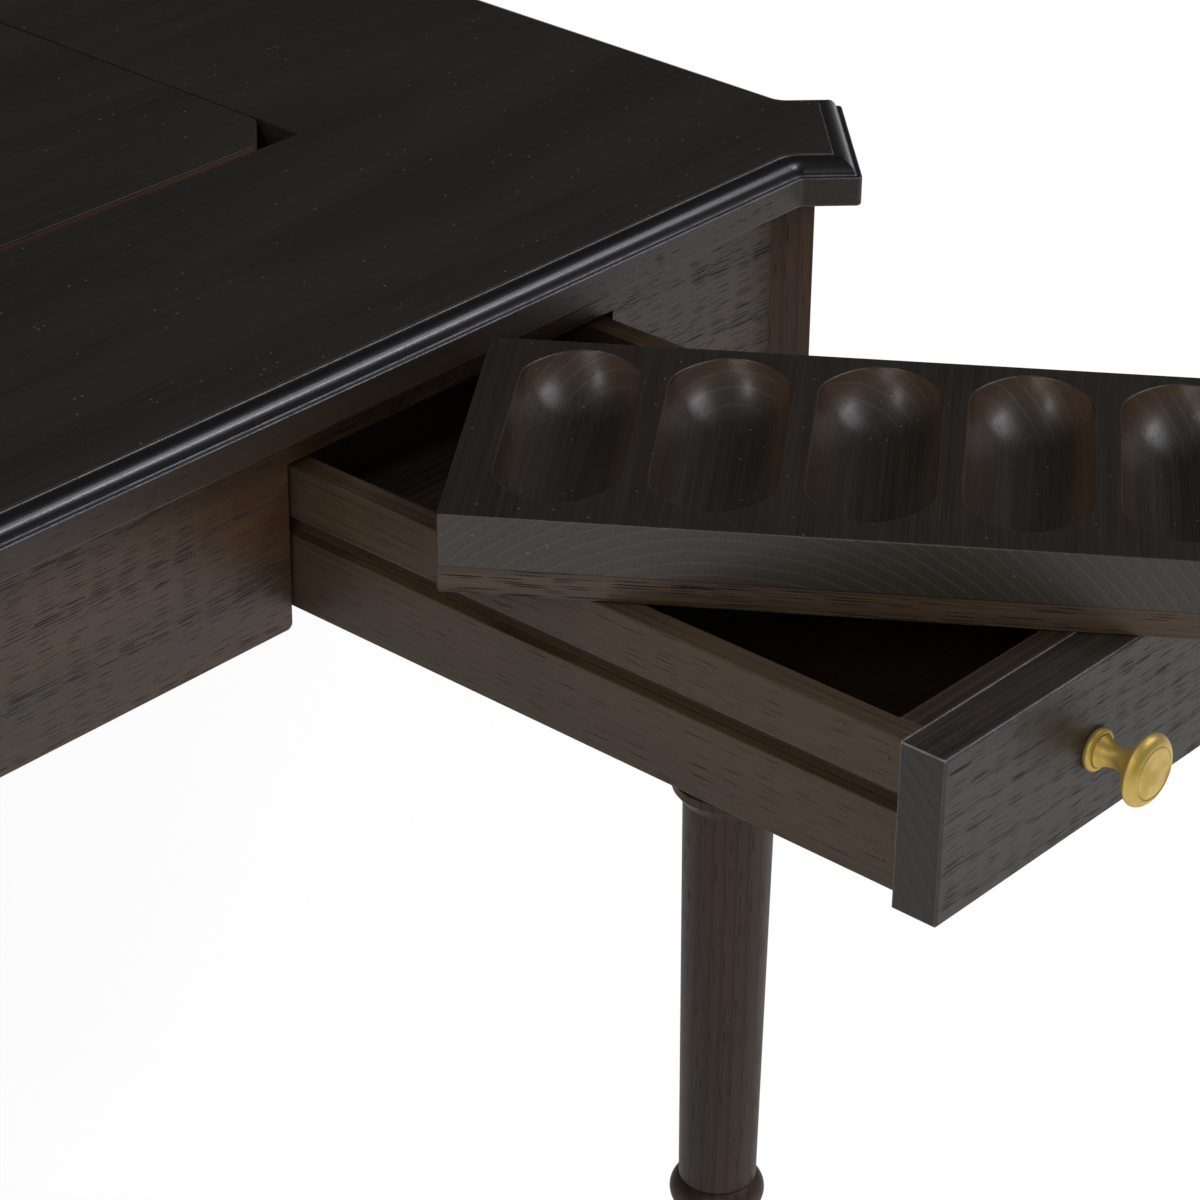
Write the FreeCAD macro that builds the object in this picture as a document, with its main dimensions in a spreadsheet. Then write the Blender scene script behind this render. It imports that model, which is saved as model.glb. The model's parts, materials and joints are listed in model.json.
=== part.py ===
import FreeCAD
import Part
import Sketcher
import math
import os

# Games table: a square top with a moulded edge and eared corners, a lift-out panel over a
# shallow well, four turned legs and four side-hung drawers, one at each player's right.
# A chip tray lies across the front drawer, which stands open.
# Every piece is drawn about the middle of the table with the floor at zero, +Z up, for the
# front side, and is then turned by quarters. Lengths are millimetres.

SIZES = {
    # table as a whole
    "table_height": 762.0,
    "top_width": 974.0,
    "top_thickness": 23.0,
    "ear_width": 91.8,
    "ear_clip": 16.32,
    "bend_radius": 4.0,
    # moulding on the edge of the top, read from the arris down
    "moulding_inset": 13.5,
    "quirk_drop": 1.2,
    "quirk_ledge": 1.0,
    "ovolo_drop": 6.0,
    "bead_ledge": 3.0,
    "ledge_drop": 0.8,
    "rim_band": 16.0,
    "underside_round": 1.5,
    # game panel and the well under it
    "opening_width": 568.0,
    "panel_gap": 3.0,
    "panel_shift": 1.8,
    "panel_clip": 23.0,
    "panel_tip_radius": 8.0,
    "panel_arris": 1.0,
    "panel_rest": 0.3,
    "well_rail_thickness": 18.0,
    "well_rail_height": 14.0,
    "well_floor_thickness": 8.0,
    "panel_ledge_width": 14.0,
    "panel_ledge_height": 12.0,
    "finger_room": 45.0,
    # aprons
    "apron_setback": 19.7,
    "apron_thickness": 20.0,
    "apron_height": 102.8,
    "notch_margin": 179.0,
    "notch_width": 213.0,
    "notch_rail": 21.4,
    "notch_round": 3.0,
    # legs, from the square post down
    "post_width": 60.0,
    "post_inset": 20.6,
    "post_height": 127.0,
    "post_chamfer": 3.0,
    "post_cove": 8.0,
    "neck_radius": 19.0,
    "neck_height": 2.0,
    "ring_radius": 27.0,
    "ring_height": 12.0,
    "vase_radius": 28.5,
    "vase_shoulder": 38.0,
    "waist_radius": 20.5,
    "collar_radius": 31.0,
    "collar_cove": 12.0,
    "collar_band": 5.0,
    "collar_flare": 8.0,
    "column_top": 375.0,
    "column_top_radius": 25.0,
    "column_foot_radius": 22.0,
    "ankle_radius": 27.0,
    "ankle_ring": 21.0,
    "ankle_height": 102.0,
    "foot_neck_radius": 18.0,
    "foot_neck_height": 4.0,
    "foot_radius": 23.0,
    "foot_shoulder": 26.0,
    "foot_toe_radius": 14.0,
    "glide_radius": 11.0,
    "glide_thickness": 4.0,
    "glide_chamfer": 1.0,
    # corner joints
    "brace_thickness": 25.0,
    "brace_height": 76.0,
    "bolt_radius": 4.0,
    "bolt_clearance": 0.2,
    "bolt_grip": 36.0,
    "bolt_tail": 4.0,
    "bolt_spacing": 40.0,
    "nut_width": 13.0,
    "nut_thickness": 6.5,
    "flange_radius": 9.0,
    "flange_thickness": 1.6,
    # drawers
    "drawer_side_gap": 1.5,
    "drawer_top_gap": 2.6,
    "face_height": 76.6,
    "face_thickness": 22.0,
    "face_arris": 0.8,
    "box_inset": 1.5,
    "drawer_back_gap": 129.5,
    "box_height": 70.0,
    "side_thickness": 12.7,
    "box_end_thickness": 11.5,
    "groove_drop": 25.0,
    "groove_height": 8.8,
    "groove_depth": 6.5,
    "bottom_thickness": 6.0,
    "bottom_rise": 8.0,
    "bottom_housing": 5.0,
    "housing_play": 0.2,
    "drawer_hold": 44.0,
    # drawer guides
    "guide_thickness": 12.0,
    "guide_play": 0.3,
    "guide_height": 72.0,
    "runner_play": 0.3,
    "runner_side_play": 0.8,
    "runner_setback": 1.0,
    "runner_tail": 20.0,
    # knobs
    "knob_offset": -2.5,
    "knob_drop": 2.0,
    "knob_reach": 29.5,
    "knob_radius": 16.0,
    "knob_rim_height": 9.6,
    "knob_face_radius": 11.4,
    "knob_neck_radius": 4.6,
    "knob_base_radius": 9.9,
    "knob_base_height": 3.4,
    "knob_groove": 0.5,
    "knob_shoulder_radius": 7.2,
    "screw_radius": 2.0,
    "screw_clearance": 0.15,
    "screw_head_radius": 4.2,
    "screw_head_height": 2.4,
    "screw_bite": 9.0,
    # chip tray
    "tray_length": 348.0,
    "tray_width": 167.0,
    "tray_block_height": 24.0,
    "tray_base_height": 12.2,
    "tray_arris": 0.8,
    "tray_play": 0.3,
    "tray_turn": -54.8,
    "tray_corner_offset": 141.0,
    "tray_overhang": 102.4,
    "scoop_count": 5.0,
    "scoop_pitch": 64.8,
    "scoop_width": 54.0,
    "scoop_depth": 22.5,
    "scoop_length": 144.0,
    "scoop_shift": 4.0,
    "scoop_nose": 40.0,
    "scoop_nose_lift": 9.0,
}

SIDES = ["front", "right", "back", "left"]
CORNERS = ["front_right", "back_right", "back_left", "front_left"]
QUARTER = 90
OVERRUN = 5
UP = FreeCAD.Vector(0, 0, 1)
ADD_ROD = "PartDesign::AdditiveCylinder"
CUT_ROD = "PartDesign::SubtractiveCylinder"
ALONG_X = (1, 0, 0)
ALONG_Y = (0, -1, 0)
ALONG_Z = (0, 0, 1)

# How far round stretches bulge or turn, as shares of the sizes that they follow
ring_share = 0.85
ovolo_share = 0.75
flange_flat_share = 0.5
flange_foot_share = 0.6
flange_top_share = 1.4
hollow_run_share = 0.55
hollow_rise_share = 0.7
rim_run_share = 0.8
rim_edge_share = 0.75
rim_back_share = 1.1
rim_front_share = 1.15
head_flat_share = 0.6
head_round_share = 1.1

doc = FreeCAD.newDocument("games_table")
sheet = doc.addObject("Spreadsheet::Sheet", "Sizes")
for row, (alias, value) in enumerate(SIZES.items(), start=1):
    sheet.set(f"A{row}", alias)
    sheet.set(f"B{row}", str(value))
    sheet.setAlias(f"B{row}", alias)
doc.recompute()


class Size:
    # A length that carries its value and the sheet formula it comes from.
    def __init__(self, value, formula):
        self.value = float(value)
        self.formula = formula

    def __add__(self, other):
        other = as_size(other)
        return Size(self.value + other.value, f"({self.formula} + {other.formula})")

    def __sub__(self, other):
        other = as_size(other)
        return Size(self.value - other.value, f"({self.formula} - {other.formula})")

    def __mul__(self, other):
        other = as_size(other)
        return Size(self.value * other.value, f"({self.formula} * {other.formula})")

    def __truediv__(self, other):
        other = as_size(other)
        return Size(self.value / other.value, f"({self.formula} / {other.formula})")

    def __neg__(self):
        return Size(-self.value, f"(0 - {self.formula})")

    def __radd__(self, other):
        return as_size(other) + self

    def __rsub__(self, other):
        return as_size(other) - self

    def __rmul__(self, other):
        return as_size(other) * self


def as_size(thing):
    return thing if isinstance(thing, Size) else Size(thing, repr(float(thing)))


def cell(alias):
    return Size(sheet.get(alias), f"Sizes.{alias}")


def root(size):
    return Size(math.sqrt(size.value), f"sqrt({size.formula})")


def cosine(angle):
    return Size(math.cos(math.radians(angle.value)), f"cos({angle.formula} * 1 deg)")


def sine(angle):
    return Size(math.sin(math.radians(angle.value)), f"sin({angle.formula} * 1 deg)")


def bind(thing, path, size):
    thing.setExpression(path, as_size(size).formula)


size = {alias: cell(alias) for alias in SIZES}
ROOT_TWO = math.sqrt(2)
BEND_TANGENT = math.tan(math.radians(QUARTER / 4))

# Levels and planes that several pieces share
top = size["table_height"]
underside = top - size["top_thickness"]
straight_half = size["top_width"] / 2
ear_half = size["ear_width"] / 2
ear_reach = straight_half * ROOT_TWO - size["ear_clip"]
apron_face = straight_half - size["apron_setback"]
apron_back = apron_face - size["apron_thickness"]
apron_foot = underside - size["apron_height"]
post_half = size["post_width"] / 2
post_outer = ear_reach - size["post_inset"]
leg_reach = post_outer - post_half
leg_axis = leg_reach / ROOT_TWO
opening_half = size["opening_width"] / 2
well_half = opening_half + size["well_rail_thickness"]
well_floor_top = underside - size["well_rail_height"]
well_floor_foot = well_floor_top - size["well_floor_thickness"]
notch_right = straight_half - size["notch_margin"]
notch_left = notch_right - size["notch_width"]
notch_middle = (notch_left + notch_right) / 2
notch_top = underside - size["notch_rail"]
face_left = notch_left + size["drawer_side_gap"]
face_right = notch_right - size["drawer_side_gap"]
face_top = notch_top - size["drawer_top_gap"]
face_foot = face_top - size["face_height"]
box_left = face_left + size["box_inset"]
box_right = face_right - size["box_inset"]
box_near = size["face_thickness"] - apron_face
box_top = face_top
box_foot = box_top - size["box_height"]
bottom_foot = box_foot + size["bottom_rise"]
bottom_top = bottom_foot + size["bottom_thickness"]
groove_top = box_top - size["groove_drop"]
groove_foot = groove_top - size["groove_height"]
guide_left = face_left - size["guide_play"] - size["guide_thickness"]
guide_right = face_right + size["guide_play"]
box_far = guide_left - size["drawer_back_gap"]
box_length = box_far - box_near
front_pull = box_length - size["drawer_hold"]
guide_foot = well_floor_foot - size["guide_height"]
knob_middle = notch_middle + size["knob_offset"]
knob_level = face_top - size["face_height"] / 2 - size["knob_drop"]
tray_foot = box_top + size["tray_play"]
tray_seam = tray_foot + size["tray_base_height"]
tray_top = tray_seam + size["tray_block_height"]
tray_corner_x = notch_middle - size["tray_corner_offset"]
tray_corner_y = -straight_half - size["tray_overhang"]

# The front drawer and the tray reach out to the front, so the table's middle stands behind
# the origin, which is under the middle of everything.
table_reach = (ear_reach + ear_half) / ROOT_TWO
tray_arris_reach = cosine(size["tray_turn"]) * size["tray_arris"]
tray_fall = sine(size["tray_turn"]) * size["tray_length"] + tray_arris_reach
tray_reach = -tray_corner_y - tray_fall
centre_shift = (tray_reach - table_reach) / 2


def vector(*values):
    return FreeCAD.Vector(*[as_size(value).value for value in values])


def plane_of(body, role):
    return [item for item in body.Origin.OriginFeatures if item.Role == role][0]


def new_body(label):
    body = doc.addObject("PartDesign::Body", label)
    body.Label = label
    return body


def quarter_turn(x, y, quarter):
    # A place on the front side, turned to another side.
    for _ in range(quarter):
        x, y = -y, x
    return x, y


def place(piece, x, y, z, turn):
    # Put a piece by its own origin, measured from the middle of the table.
    piece.Placement = FreeCAD.Placement(vector(x, y + centre_shift, z), turn)
    bind(piece, "Placement.Base.x", x)
    bind(piece, "Placement.Base.y", y + centre_shift)
    bind(piece, "Placement.Base.z", z)


def seat(piece, quarter=0, pull=0):
    # Turn a piece that is drawn in its place on the front side, and draw it out.
    x, y = quarter_turn(as_size(0), -as_size(pull), quarter)
    place(piece, x, y, 0, FreeCAD.Rotation(UP, QUARTER * quarter))


def pin(sketch, geometry, end, x, y):
    # Hold one end of a sketch element at a place measured from the sketch's origin.
    for kind, value, axis in (("DistanceX", x, -2), ("DistanceY", y, -1)):
        if isinstance(value, Size):
            index = sketch.addConstraint(Sketcher.Constraint(kind, -1, 1, geometry, end, value.value))
            bind(sketch, f"Constraints[{index}]", value)
        else:
            sketch.addConstraint(Sketcher.Constraint("PointOnObject", geometry, end, axis))


def outline(body, name, plane, steps, level=0):
    # Closed sketch from steps (x, y) or (x, y, radius, side): the stretch that leaves a step
    # is straight, or an arc of that radius that bends to the left (+1) or the right (-1).
    sketch = body.newObject("Sketcher::SketchObject", name)
    sketch.AttachmentSupport = [(plane_of(body, plane), "")]
    sketch.MapMode = "FlatFace"
    if isinstance(level, Size):
        sketch.AttachmentOffset = FreeCAD.Placement(vector(0, 0, level), FreeCAD.Rotation())
        bind(sketch, "AttachmentOffset.Base.z", level)
    ends = []
    for index, step in enumerate(steps):
        after = steps[(index + 1) % len(steps)]
        start, finish = vector(step[0], step[1], 0), vector(after[0], after[1], 0)
        if len(step) == 2:
            sketch.addGeometry(Part.LineSegment(start, finish), False)
            ends.append((1, 2))
            continue
        radius, side = step[2], step[3]
        chord = finish - start
        rise = math.sqrt(max(radius.value ** 2 - (chord.Length / 2) ** 2, 0))
        across = FreeCAD.Vector(-chord.y, chord.x, 0).normalize() * side
        centre = (start + finish) / 2 + across * rise
        middle = centre + ((start + finish) / 2 - centre - across * 1e-6).normalize() * radius.value
        sketch.addGeometry(Part.Arc(start, middle, finish), False)
        ends.append((1, 2) if side > 0 else (2, 1))
    for index, step in enumerate(steps):
        after = (index + 1) % len(steps)
        sketch.addConstraint(
            Sketcher.Constraint("Coincident", index, ends[index][1], after, ends[after][0])
        )
        pin(sketch, index, ends[index][0], step[0], step[1])
        if len(step) == 4:
            number = sketch.addConstraint(Sketcher.Constraint("Radius", index, step[2].value))
            bind(sketch, f"Constraints[{number}]", step[2])
    return sketch


def pad(body, name, sketch, length, backwards=False):
    feature = body.newObject("PartDesign::Pad", name)
    feature.Profile = sketch
    feature.Reversed = backwards
    bind(feature, "Length", length)
    return feature


def cut_through(body, name, sketch):
    feature = body.newObject("PartDesign::Pocket", name)
    feature.Profile = sketch
    feature.SideType = "Symmetric"
    feature.Type = "ThroughAll"
    return feature


def block(body, name, low, high, kind="PartDesign::AdditiveBox"):
    # Rectangular board or cut between two corners.
    feature = body.newObject(kind, name)
    for length, axis, start, finish in zip(("Length", "Width", "Height"), "xyz", low, high):
        bind(feature, length, as_size(finish) - start)
        bind(feature, f"Placement.Base.{axis}", as_size(start))
    return feature


def hollow(body, name, low, high):
    return block(body, name, low, high, "PartDesign::SubtractiveBox")


def rod(body, name, radius, start, length, way, kind=CUT_ROD):
    # Round bar or hole from a start point along a direction.
    feature = body.newObject(kind, name)
    feature.Placement = FreeCAD.Placement(
        vector(*start), FreeCAD.Rotation(UP, FreeCAD.Vector(*way))
    )
    for axis, value in zip("xyz", start):
        bind(feature, f"Placement.Base.{axis}", as_size(value))
    bind(feature, "Radius", radius)
    bind(feature, "Height", length)
    return feature


def revolve(body, name, sketch, axis="V_Axis"):
    feature = body.newObject("PartDesign::Revolution", name)
    feature.Profile = sketch
    feature.ReferenceAxis = (sketch, [axis])
    feature.Angle = 360
    return feature


def ease(body, base, name, edges, width, kind="PartDesign::Chamfer", key="Size"):
    feature = body.newObject(kind, name)
    feature.Base = (base, edges)
    bind(feature, key, width)
    return feature


def edges_where(feature, test):
    # Names of the straight edges whose middle and direction pass a test.
    doc.recompute()
    names = []
    for index, edge in enumerate(feature.Shape.Edges, start=1):
        if edge.Curve.TypeId == "Part::GeomLine":
            along = edge.Vertexes[1].Point - edge.Vertexes[0].Point
            if test(edge.CenterOfMass, along.normalize()):
                names.append(f"Edge{index}")
    return names


def close(left, right):
    return abs(as_size(left).value - as_size(right).value) < 1e-4


def group(label, pieces):
    gathered = doc.addObject("Part::Compound", label)
    gathered.Label = label
    gathered.Links = pieces
    return gathered


def eared_outline(inset):
    # One turn round the top, drawn in from the edge face by the inset.
    half = straight_half - inset
    width = ear_half - inset
    reach = ear_reach - inset
    bend = size["bend_radius"] + inset
    run = bend * BEND_TANGENT
    corner = half - width * ROOT_TWO
    side = [
        (corner - run, -half, bend, -1),
        (corner + run / ROOT_TWO, -half - run / ROOT_TWO),
        ((reach - width) / ROOT_TWO, -(reach + width) / ROOT_TWO),
        ((reach + width) / ROOT_TWO, -(reach - width) / ROOT_TWO),
        (half + run / ROOT_TWO, -corner - run / ROOT_TWO, bend, -1),
        (half, run - corner),
    ]
    steps = [(0, -half)]
    for quarter in range(4):
        steps += [(*quarter_turn(x, y, quarter), *arc) for x, y, *arc in side]
    return steps


def make_tabletop():
    # Flat field and opening, with the moulded rim run round it and mitred at the ears.
    body = new_body("tabletop")
    inset = size["moulding_inset"]
    field = outline(body, "top_field", "XY_Plane", eared_outline(inset), underside)
    slab = pad(body, "top_slab", field, size["top_thickness"])
    path = outline(body, "top_edge_path", "XY_Plane", eared_outline(as_size(0)), underside)
    face = -straight_half
    quirk = top - size["quirk_drop"]
    ovolo_start = inset - size["quirk_ledge"]
    ovolo_foot = quirk - size["ovolo_drop"]
    ovolo_run = ovolo_start - size["bead_ledge"]
    ledge = ovolo_foot - size["ledge_drop"]
    ovolo_chord = root(ovolo_run * ovolo_run + size["ovolo_drop"] * size["ovolo_drop"])
    ovolo_radius = ovolo_chord * ovolo_share
    lip = size["underside_round"]
    section = [
        (face + size["rim_band"], underside),
        (face + size["rim_band"], top),
        (face + inset, top),
        (face + inset, quirk),
        (face + ovolo_start, quirk, ovolo_radius, 1),
        (face + size["bead_ledge"], ovolo_foot),
        (face + size["bead_ledge"], ledge),
        (face, ledge),
        (face, underside + lip, lip, 1),
        (face + lip, underside),
    ]
    profile = outline(body, "top_moulding", "YZ_Plane", section)
    rim = body.newObject("PartDesign::AdditivePipe", "top_rim")
    rim.Profile = profile
    rim.Spine = (path, [f"Edge{index + 1}" for index in range(path.GeometryCount)])
    rim.Transition = "Right corner"
    half = opening_half
    hollow(body, "top_opening", (-half, -half, underside - OVERRUN), (half, half, top + OVERRUN))
    seat(body)
    return body


def make_game_panel():
    body = new_body("game_panel")
    half = opening_half - size["panel_gap"]
    clip = half - size["panel_clip"]
    radius = size["panel_tip_radius"]
    run = radius * BEND_TANGENT
    side = [
        (clip - run, -half, radius, 1),
        (clip + run / ROOT_TWO, -half + run / ROOT_TWO),
        (half - run / ROOT_TWO, -clip - run / ROOT_TWO, radius, 1),
        (half, run - clip),
    ]
    steps = []
    for quarter in range(4):
        steps += [(*quarter_turn(x, y, quarter), *arc) for x, y, *arc in side]
    foot = underside + size["panel_rest"]
    shape = outline(body, "panel_outline", "XY_Plane", steps, foot)
    board = pad(body, "panel_board", shape, top - foot)
    doc.recompute()
    rims = [
        f"Face{index}" for index, face in enumerate(board.Shape.Faces, start=1)
        if abs(face.normalAt(0, 0).z) > 0.9
    ]
    ease(body, board, "panel_edges", rims, size["panel_arris"])
    seat(body)
    body.Placement.Base.x = size["panel_shift"].value
    bind(body, "Placement.Base.x", size["panel_shift"])
    bind(body, "Placement.Base.y", centre_shift + size["panel_shift"])


def make_well():
    rails, ledges = [], []
    inner = opening_half - size["panel_ledge_width"]
    ledge_end = opening_half - size["finger_room"]
    for quarter, side in enumerate(SIDES):
        rail = new_body(f"well_rail_{side}")
        low = (-well_half, -well_half, well_floor_top)
        high = (opening_half, -opening_half, underside)
        block(rail, f"rail_{side}", low, high)
        seat(rail, quarter)
        rails.append(rail)
        ledge = new_body(f"panel_ledge_{side}")
        low = (-ledge_end, -opening_half, underside - size["panel_ledge_height"])
        high = (ledge_end, -inner, underside)
        block(ledge, f"ledge_{side}", low, high)
        seat(ledge, quarter)
        ledges.append(ledge)
    group("well_rails", rails)
    group("panel_ledges", ledges)
    floor = new_body("well_floor")
    low = (-well_half, -well_half, well_floor_foot)
    block(floor, "floor_board", low, (well_half, well_half, well_floor_top))
    seat(floor)


def make_apron(quarter, side):
    # Mitred to the corner posts, with a drawer notch that is open at the foot.
    body = new_body(f"{side}_apron")
    outer = post_half * ROOT_TWO
    long_half = apron_face - outer
    short_half = apron_back - outer
    plan = [
        (-long_half, -apron_face),
        (long_half, -apron_face),
        (short_half, -apron_back),
        (-short_half, -apron_back),
    ]
    board = outline(body, f"{side}_apron_plan", "XY_Plane", plan, apron_foot)
    pad(body, f"{side}_apron_board", board, size["apron_height"])
    radius = size["notch_round"]
    below = apron_foot - OVERRUN
    notch = [
        (notch_left - radius, below),
        (notch_right + radius, below),
        (notch_right + radius, apron_foot, radius, -1),
        (notch_right, apron_foot + radius),
        (notch_right, notch_top),
        (notch_left, notch_top),
        (notch_left, apron_foot + radius, radius, -1),
        (notch_left - radius, apron_foot),
    ]
    cut_through(body, f"{side}_notch", outline(body, f"{side}_notch_shape", "XZ_Plane", notch))
    seat(body, quarter)


def bulge(run, rise):
    # Radius of an arc that starts square to the run and ends the run and the rise away.
    return (run * run + rise * rise) / (run * 2)


def leg_profile():
    # Half section, up the outside from the glide to the foot of the square post.
    post_foot = underside - size["post_height"]
    neck = size["neck_radius"]
    ring_half = size["ring_height"] / 2
    ring_run = ring_half * ring_share
    ring_base = size["ring_radius"] - ring_run
    ring_top = post_foot - size["post_cove"] - size["neck_height"]
    ring_foot = ring_top - size["ring_height"]
    vase_top = ring_foot - size["neck_height"]
    vase_wide = vase_top - size["vase_shoulder"]
    collar_foot = size["column_top"] + size["collar_flare"]
    collar_top = collar_foot + size["collar_band"]
    waist = size["waist_radius"]
    waist_level = collar_top + size["collar_cove"]
    ankle = size["ankle_height"]
    ankle_top = ankle + size["ankle_ring"]
    ankle_base = size["foot_neck_radius"] + size["foot_neck_height"] / 2
    foot_neck = ankle - size["foot_neck_height"]
    foot_wide = foot_neck - size["foot_shoulder"]
    glide = size["glide_thickness"]
    toe_run = size["foot_radius"] - size["foot_toe_radius"]
    foot_run = size["foot_radius"] - size["foot_neck_radius"]
    vase_run = size["vase_radius"] - waist
    shoulder_run = size["vase_radius"] - neck
    cove_run = size["collar_radius"] - waist
    ankle_run = size["ankle_radius"] - ankle_base
    return [
        (0, glide),
        (size["foot_toe_radius"], glide, bulge(toe_run, foot_wide - glide), 1),
        (size["foot_radius"], foot_wide, bulge(foot_run, size["foot_shoulder"]), 1),
        (size["foot_neck_radius"], foot_neck),
        (size["foot_neck_radius"], ankle),
        (ankle_base, ankle, bulge(ankle_run, size["ankle_ring"] / 2), 1),
        (ankle_base, ankle_top),
        (size["column_foot_radius"], ankle_top),
        (size["column_top_radius"], size["column_top"]),
        (size["collar_radius"], collar_foot),
        (size["collar_radius"], collar_top, bulge(cove_run, size["collar_cove"]), -1),
        (waist, waist_level, bulge(vase_run, vase_wide - waist_level), 1),
        (size["vase_radius"], vase_wide, bulge(shoulder_run, size["vase_shoulder"]), 1),
        (neck, vase_top),
        (neck, ring_foot),
        (ring_base, ring_foot, bulge(ring_run, ring_half), 1),
        (ring_base, ring_top),
        (neck, ring_top),
        (neck, post_foot - size["post_cove"], size["post_cove"], -1),
        (neck + size["post_cove"], post_foot),
        (neck + size["post_cove"], post_foot + size["post_chamfer"]),
        (0, post_foot + size["post_chamfer"]),
    ]


def corner_place(piece, quarter, z=0):
    # Stand a piece on a leg's axis with its own X pointing out through the corner.
    x, y = quarter_turn(leg_axis, -leg_axis, quarter)
    place(piece, x, y, z, FreeCAD.Rotation(UP, QUARTER * quarter - QUARTER / 2))


def bolt_levels():
    middle = underside - size["brace_height"] / 2
    return [middle - size["bolt_spacing"] / 2, middle + size["bolt_spacing"] / 2]


def make_leg(quarter, corner):
    body = new_body(f"{corner}_leg")
    half = post_half
    post_foot = underside - size["post_height"]
    post = block(body, f"{corner}_post", (-half, -half, post_foot), (half, half, underside))
    rims = edges_where(post, lambda middle, along: close(middle.z, post_foot))
    ease(body, post, f"{corner}_post_shoulder", rims, size["post_chamfer"])
    section = outline(body, f"{corner}_turning_shape", "XZ_Plane", leg_profile())
    revolve(body, f"{corner}_turning", section)
    hole = size["bolt_radius"] + size["bolt_clearance"]
    depth = size["bolt_grip"] + size["bolt_clearance"]
    for number, level in enumerate(bolt_levels(), start=1):
        rod(body, f"{corner}_bolt_hole_{number}", hole, (-half, 0, level), depth, ALONG_X)
    corner_place(body, quarter)


def make_brace(quarter, corner):
    # Block across the corner behind the post, its ends cut to lie on the aprons.
    body = new_body(f"{corner}_brace")
    reach = apron_back * ROOT_TWO - leg_reach
    face = -post_half
    back = face - size["brace_thickness"]
    plan = [
        (back, -(reach - back)),
        (face, -(reach - face)),
        (face, reach - face),
        (back, reach - back),
    ]
    level = underside - size["brace_height"]
    shape = outline(body, f"{corner}_brace_plan", "XY_Plane", plan, level)
    pad(body, f"{corner}_brace_block", shape, size["brace_height"])
    hole = size["bolt_radius"] + size["bolt_clearance"]
    depth = size["brace_thickness"] + 2 * OVERRUN
    for number, height in enumerate(bolt_levels(), start=1):
        start = (back - OVERRUN, 0, height)
        rod(body, f"{corner}_brace_hole_{number}", hole, start, depth, ALONG_X)
    corner_place(body, quarter)
    return body


def make_corner_bolts(quarter, corner):
    # Hanger bolts from the post through the brace, each with a flanged nut behind.
    bolts, nuts = [], []
    back = -(post_half + size["brace_thickness"])
    nut_length = size["flange_thickness"] + size["nut_thickness"]
    bolt_end = back - nut_length - size["bolt_tail"]
    bolt_length = size["bolt_grip"] - post_half - bolt_end
    hole = size["bolt_radius"] + size["bolt_clearance"]
    half_flat = size["nut_width"] / 2
    point = size["nut_width"] / math.sqrt(3)
    hexagon = [
        (half_flat, -point / 2),
        (half_flat, point / 2),
        (0, point),
        (-half_flat, point / 2),
        (-half_flat, -point / 2),
        (0, -point),
    ]
    for number, level in enumerate(bolt_levels(), start=1):
        tag = f"{corner}_{number}"
        bolt = new_body(f"bolt_{tag}")
        start = (bolt_end, 0, level)
        rod(bolt, f"bolt_rod_{tag}", size["bolt_radius"], start, bolt_length, ALONG_X, ADD_ROD)
        corner_place(bolt, quarter)
        bolts.append(bolt)
        nut = new_body(f"nut_{tag}")
        flat = outline(nut, f"nut_hexagon_{tag}", "XY_Plane", hexagon)
        pad(nut, f"nut_grip_{tag}", flat, nut_length)
        radius, thickness = size["flange_radius"], size["flange_thickness"]
        rod(nut, f"nut_flange_{tag}", radius, (0, 0, 0), thickness, ALONG_Z, ADD_ROD)
        start = (0, 0, -OVERRUN)
        rod(nut, f"nut_thread_{tag}", hole, start, nut_length + 2 * OVERRUN, ALONG_Z)
        x, y = quarter_turn(leg_axis + back / ROOT_TWO, -leg_axis - back / ROOT_TWO, quarter)
        turn = FreeCAD.Rotation(UP, QUARTER * quarter - QUARTER / 2)
        place(nut, x, y, level, turn.multiply(FreeCAD.Rotation(FreeCAD.Vector(0, 1, 0), -QUARTER)))
        nuts.append(nut)
    return bolts, nuts


def make_glide(quarter, corner):
    body = new_body(f"{corner}_glide")
    radius, thickness = size["glide_radius"], size["glide_thickness"]
    disc = rod(body, f"{corner}_glide_disc", radius, (0, 0, 0), thickness, ALONG_Z, ADD_ROD)
    doc.recompute()
    rims = [
        f"Edge{index}" for index, edge in enumerate(disc.Shape.Edges, start=1)
        if edge.isClosed() and close(edge.CenterOfMass.z, 0)
    ]
    ease(body, disc, f"{corner}_glide_edge", rims, size["glide_chamfer"])
    corner_place(body, quarter)
    return body


def make_guides(quarter, side):
    # Boards each side of a drawer, hung from the top and notched under the well, which
    # carry the runners and butt against the next drawer's guide.
    runners = []
    left_face = guide_left + size["guide_thickness"]
    right_back = guide_right + size["guide_thickness"]
    spans = {"left": (guide_left, left_face), "right": (guide_right, right_back)}
    for hand, (low, high) in spans.items():
        tag = f"{side}_drawer_{hand}_guide"
        body = new_body(tag)
        start, end = -apron_back, guide_left
        block(body, f"{tag}_board", (low, start, guide_foot), (high, end, underside))
        corners = (-well_half, -well_half, well_floor_foot), (well_half, well_half, underside)
        hollow(body, f"{tag}_well_notch", *corners)
        seat(body, quarter)
        reach = size["groove_depth"] - size["runner_side_play"]
        edges = (left_face, box_left + reach) if hand == "left" else (box_right - reach, guide_right)
        runner = new_body(f"{side}_{hand}_runner")
        near = box_near + size["runner_setback"]
        low_corner = (edges[0], near, groove_foot + size["runner_play"])
        high_corner = (edges[1], box_far + size["runner_tail"], groove_top - size["runner_play"])
        block(runner, f"{side}_{hand}_runner_strip", low_corner, high_corner)
        seat(runner, quarter)
        runners.append(runner)
    return runners


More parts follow.
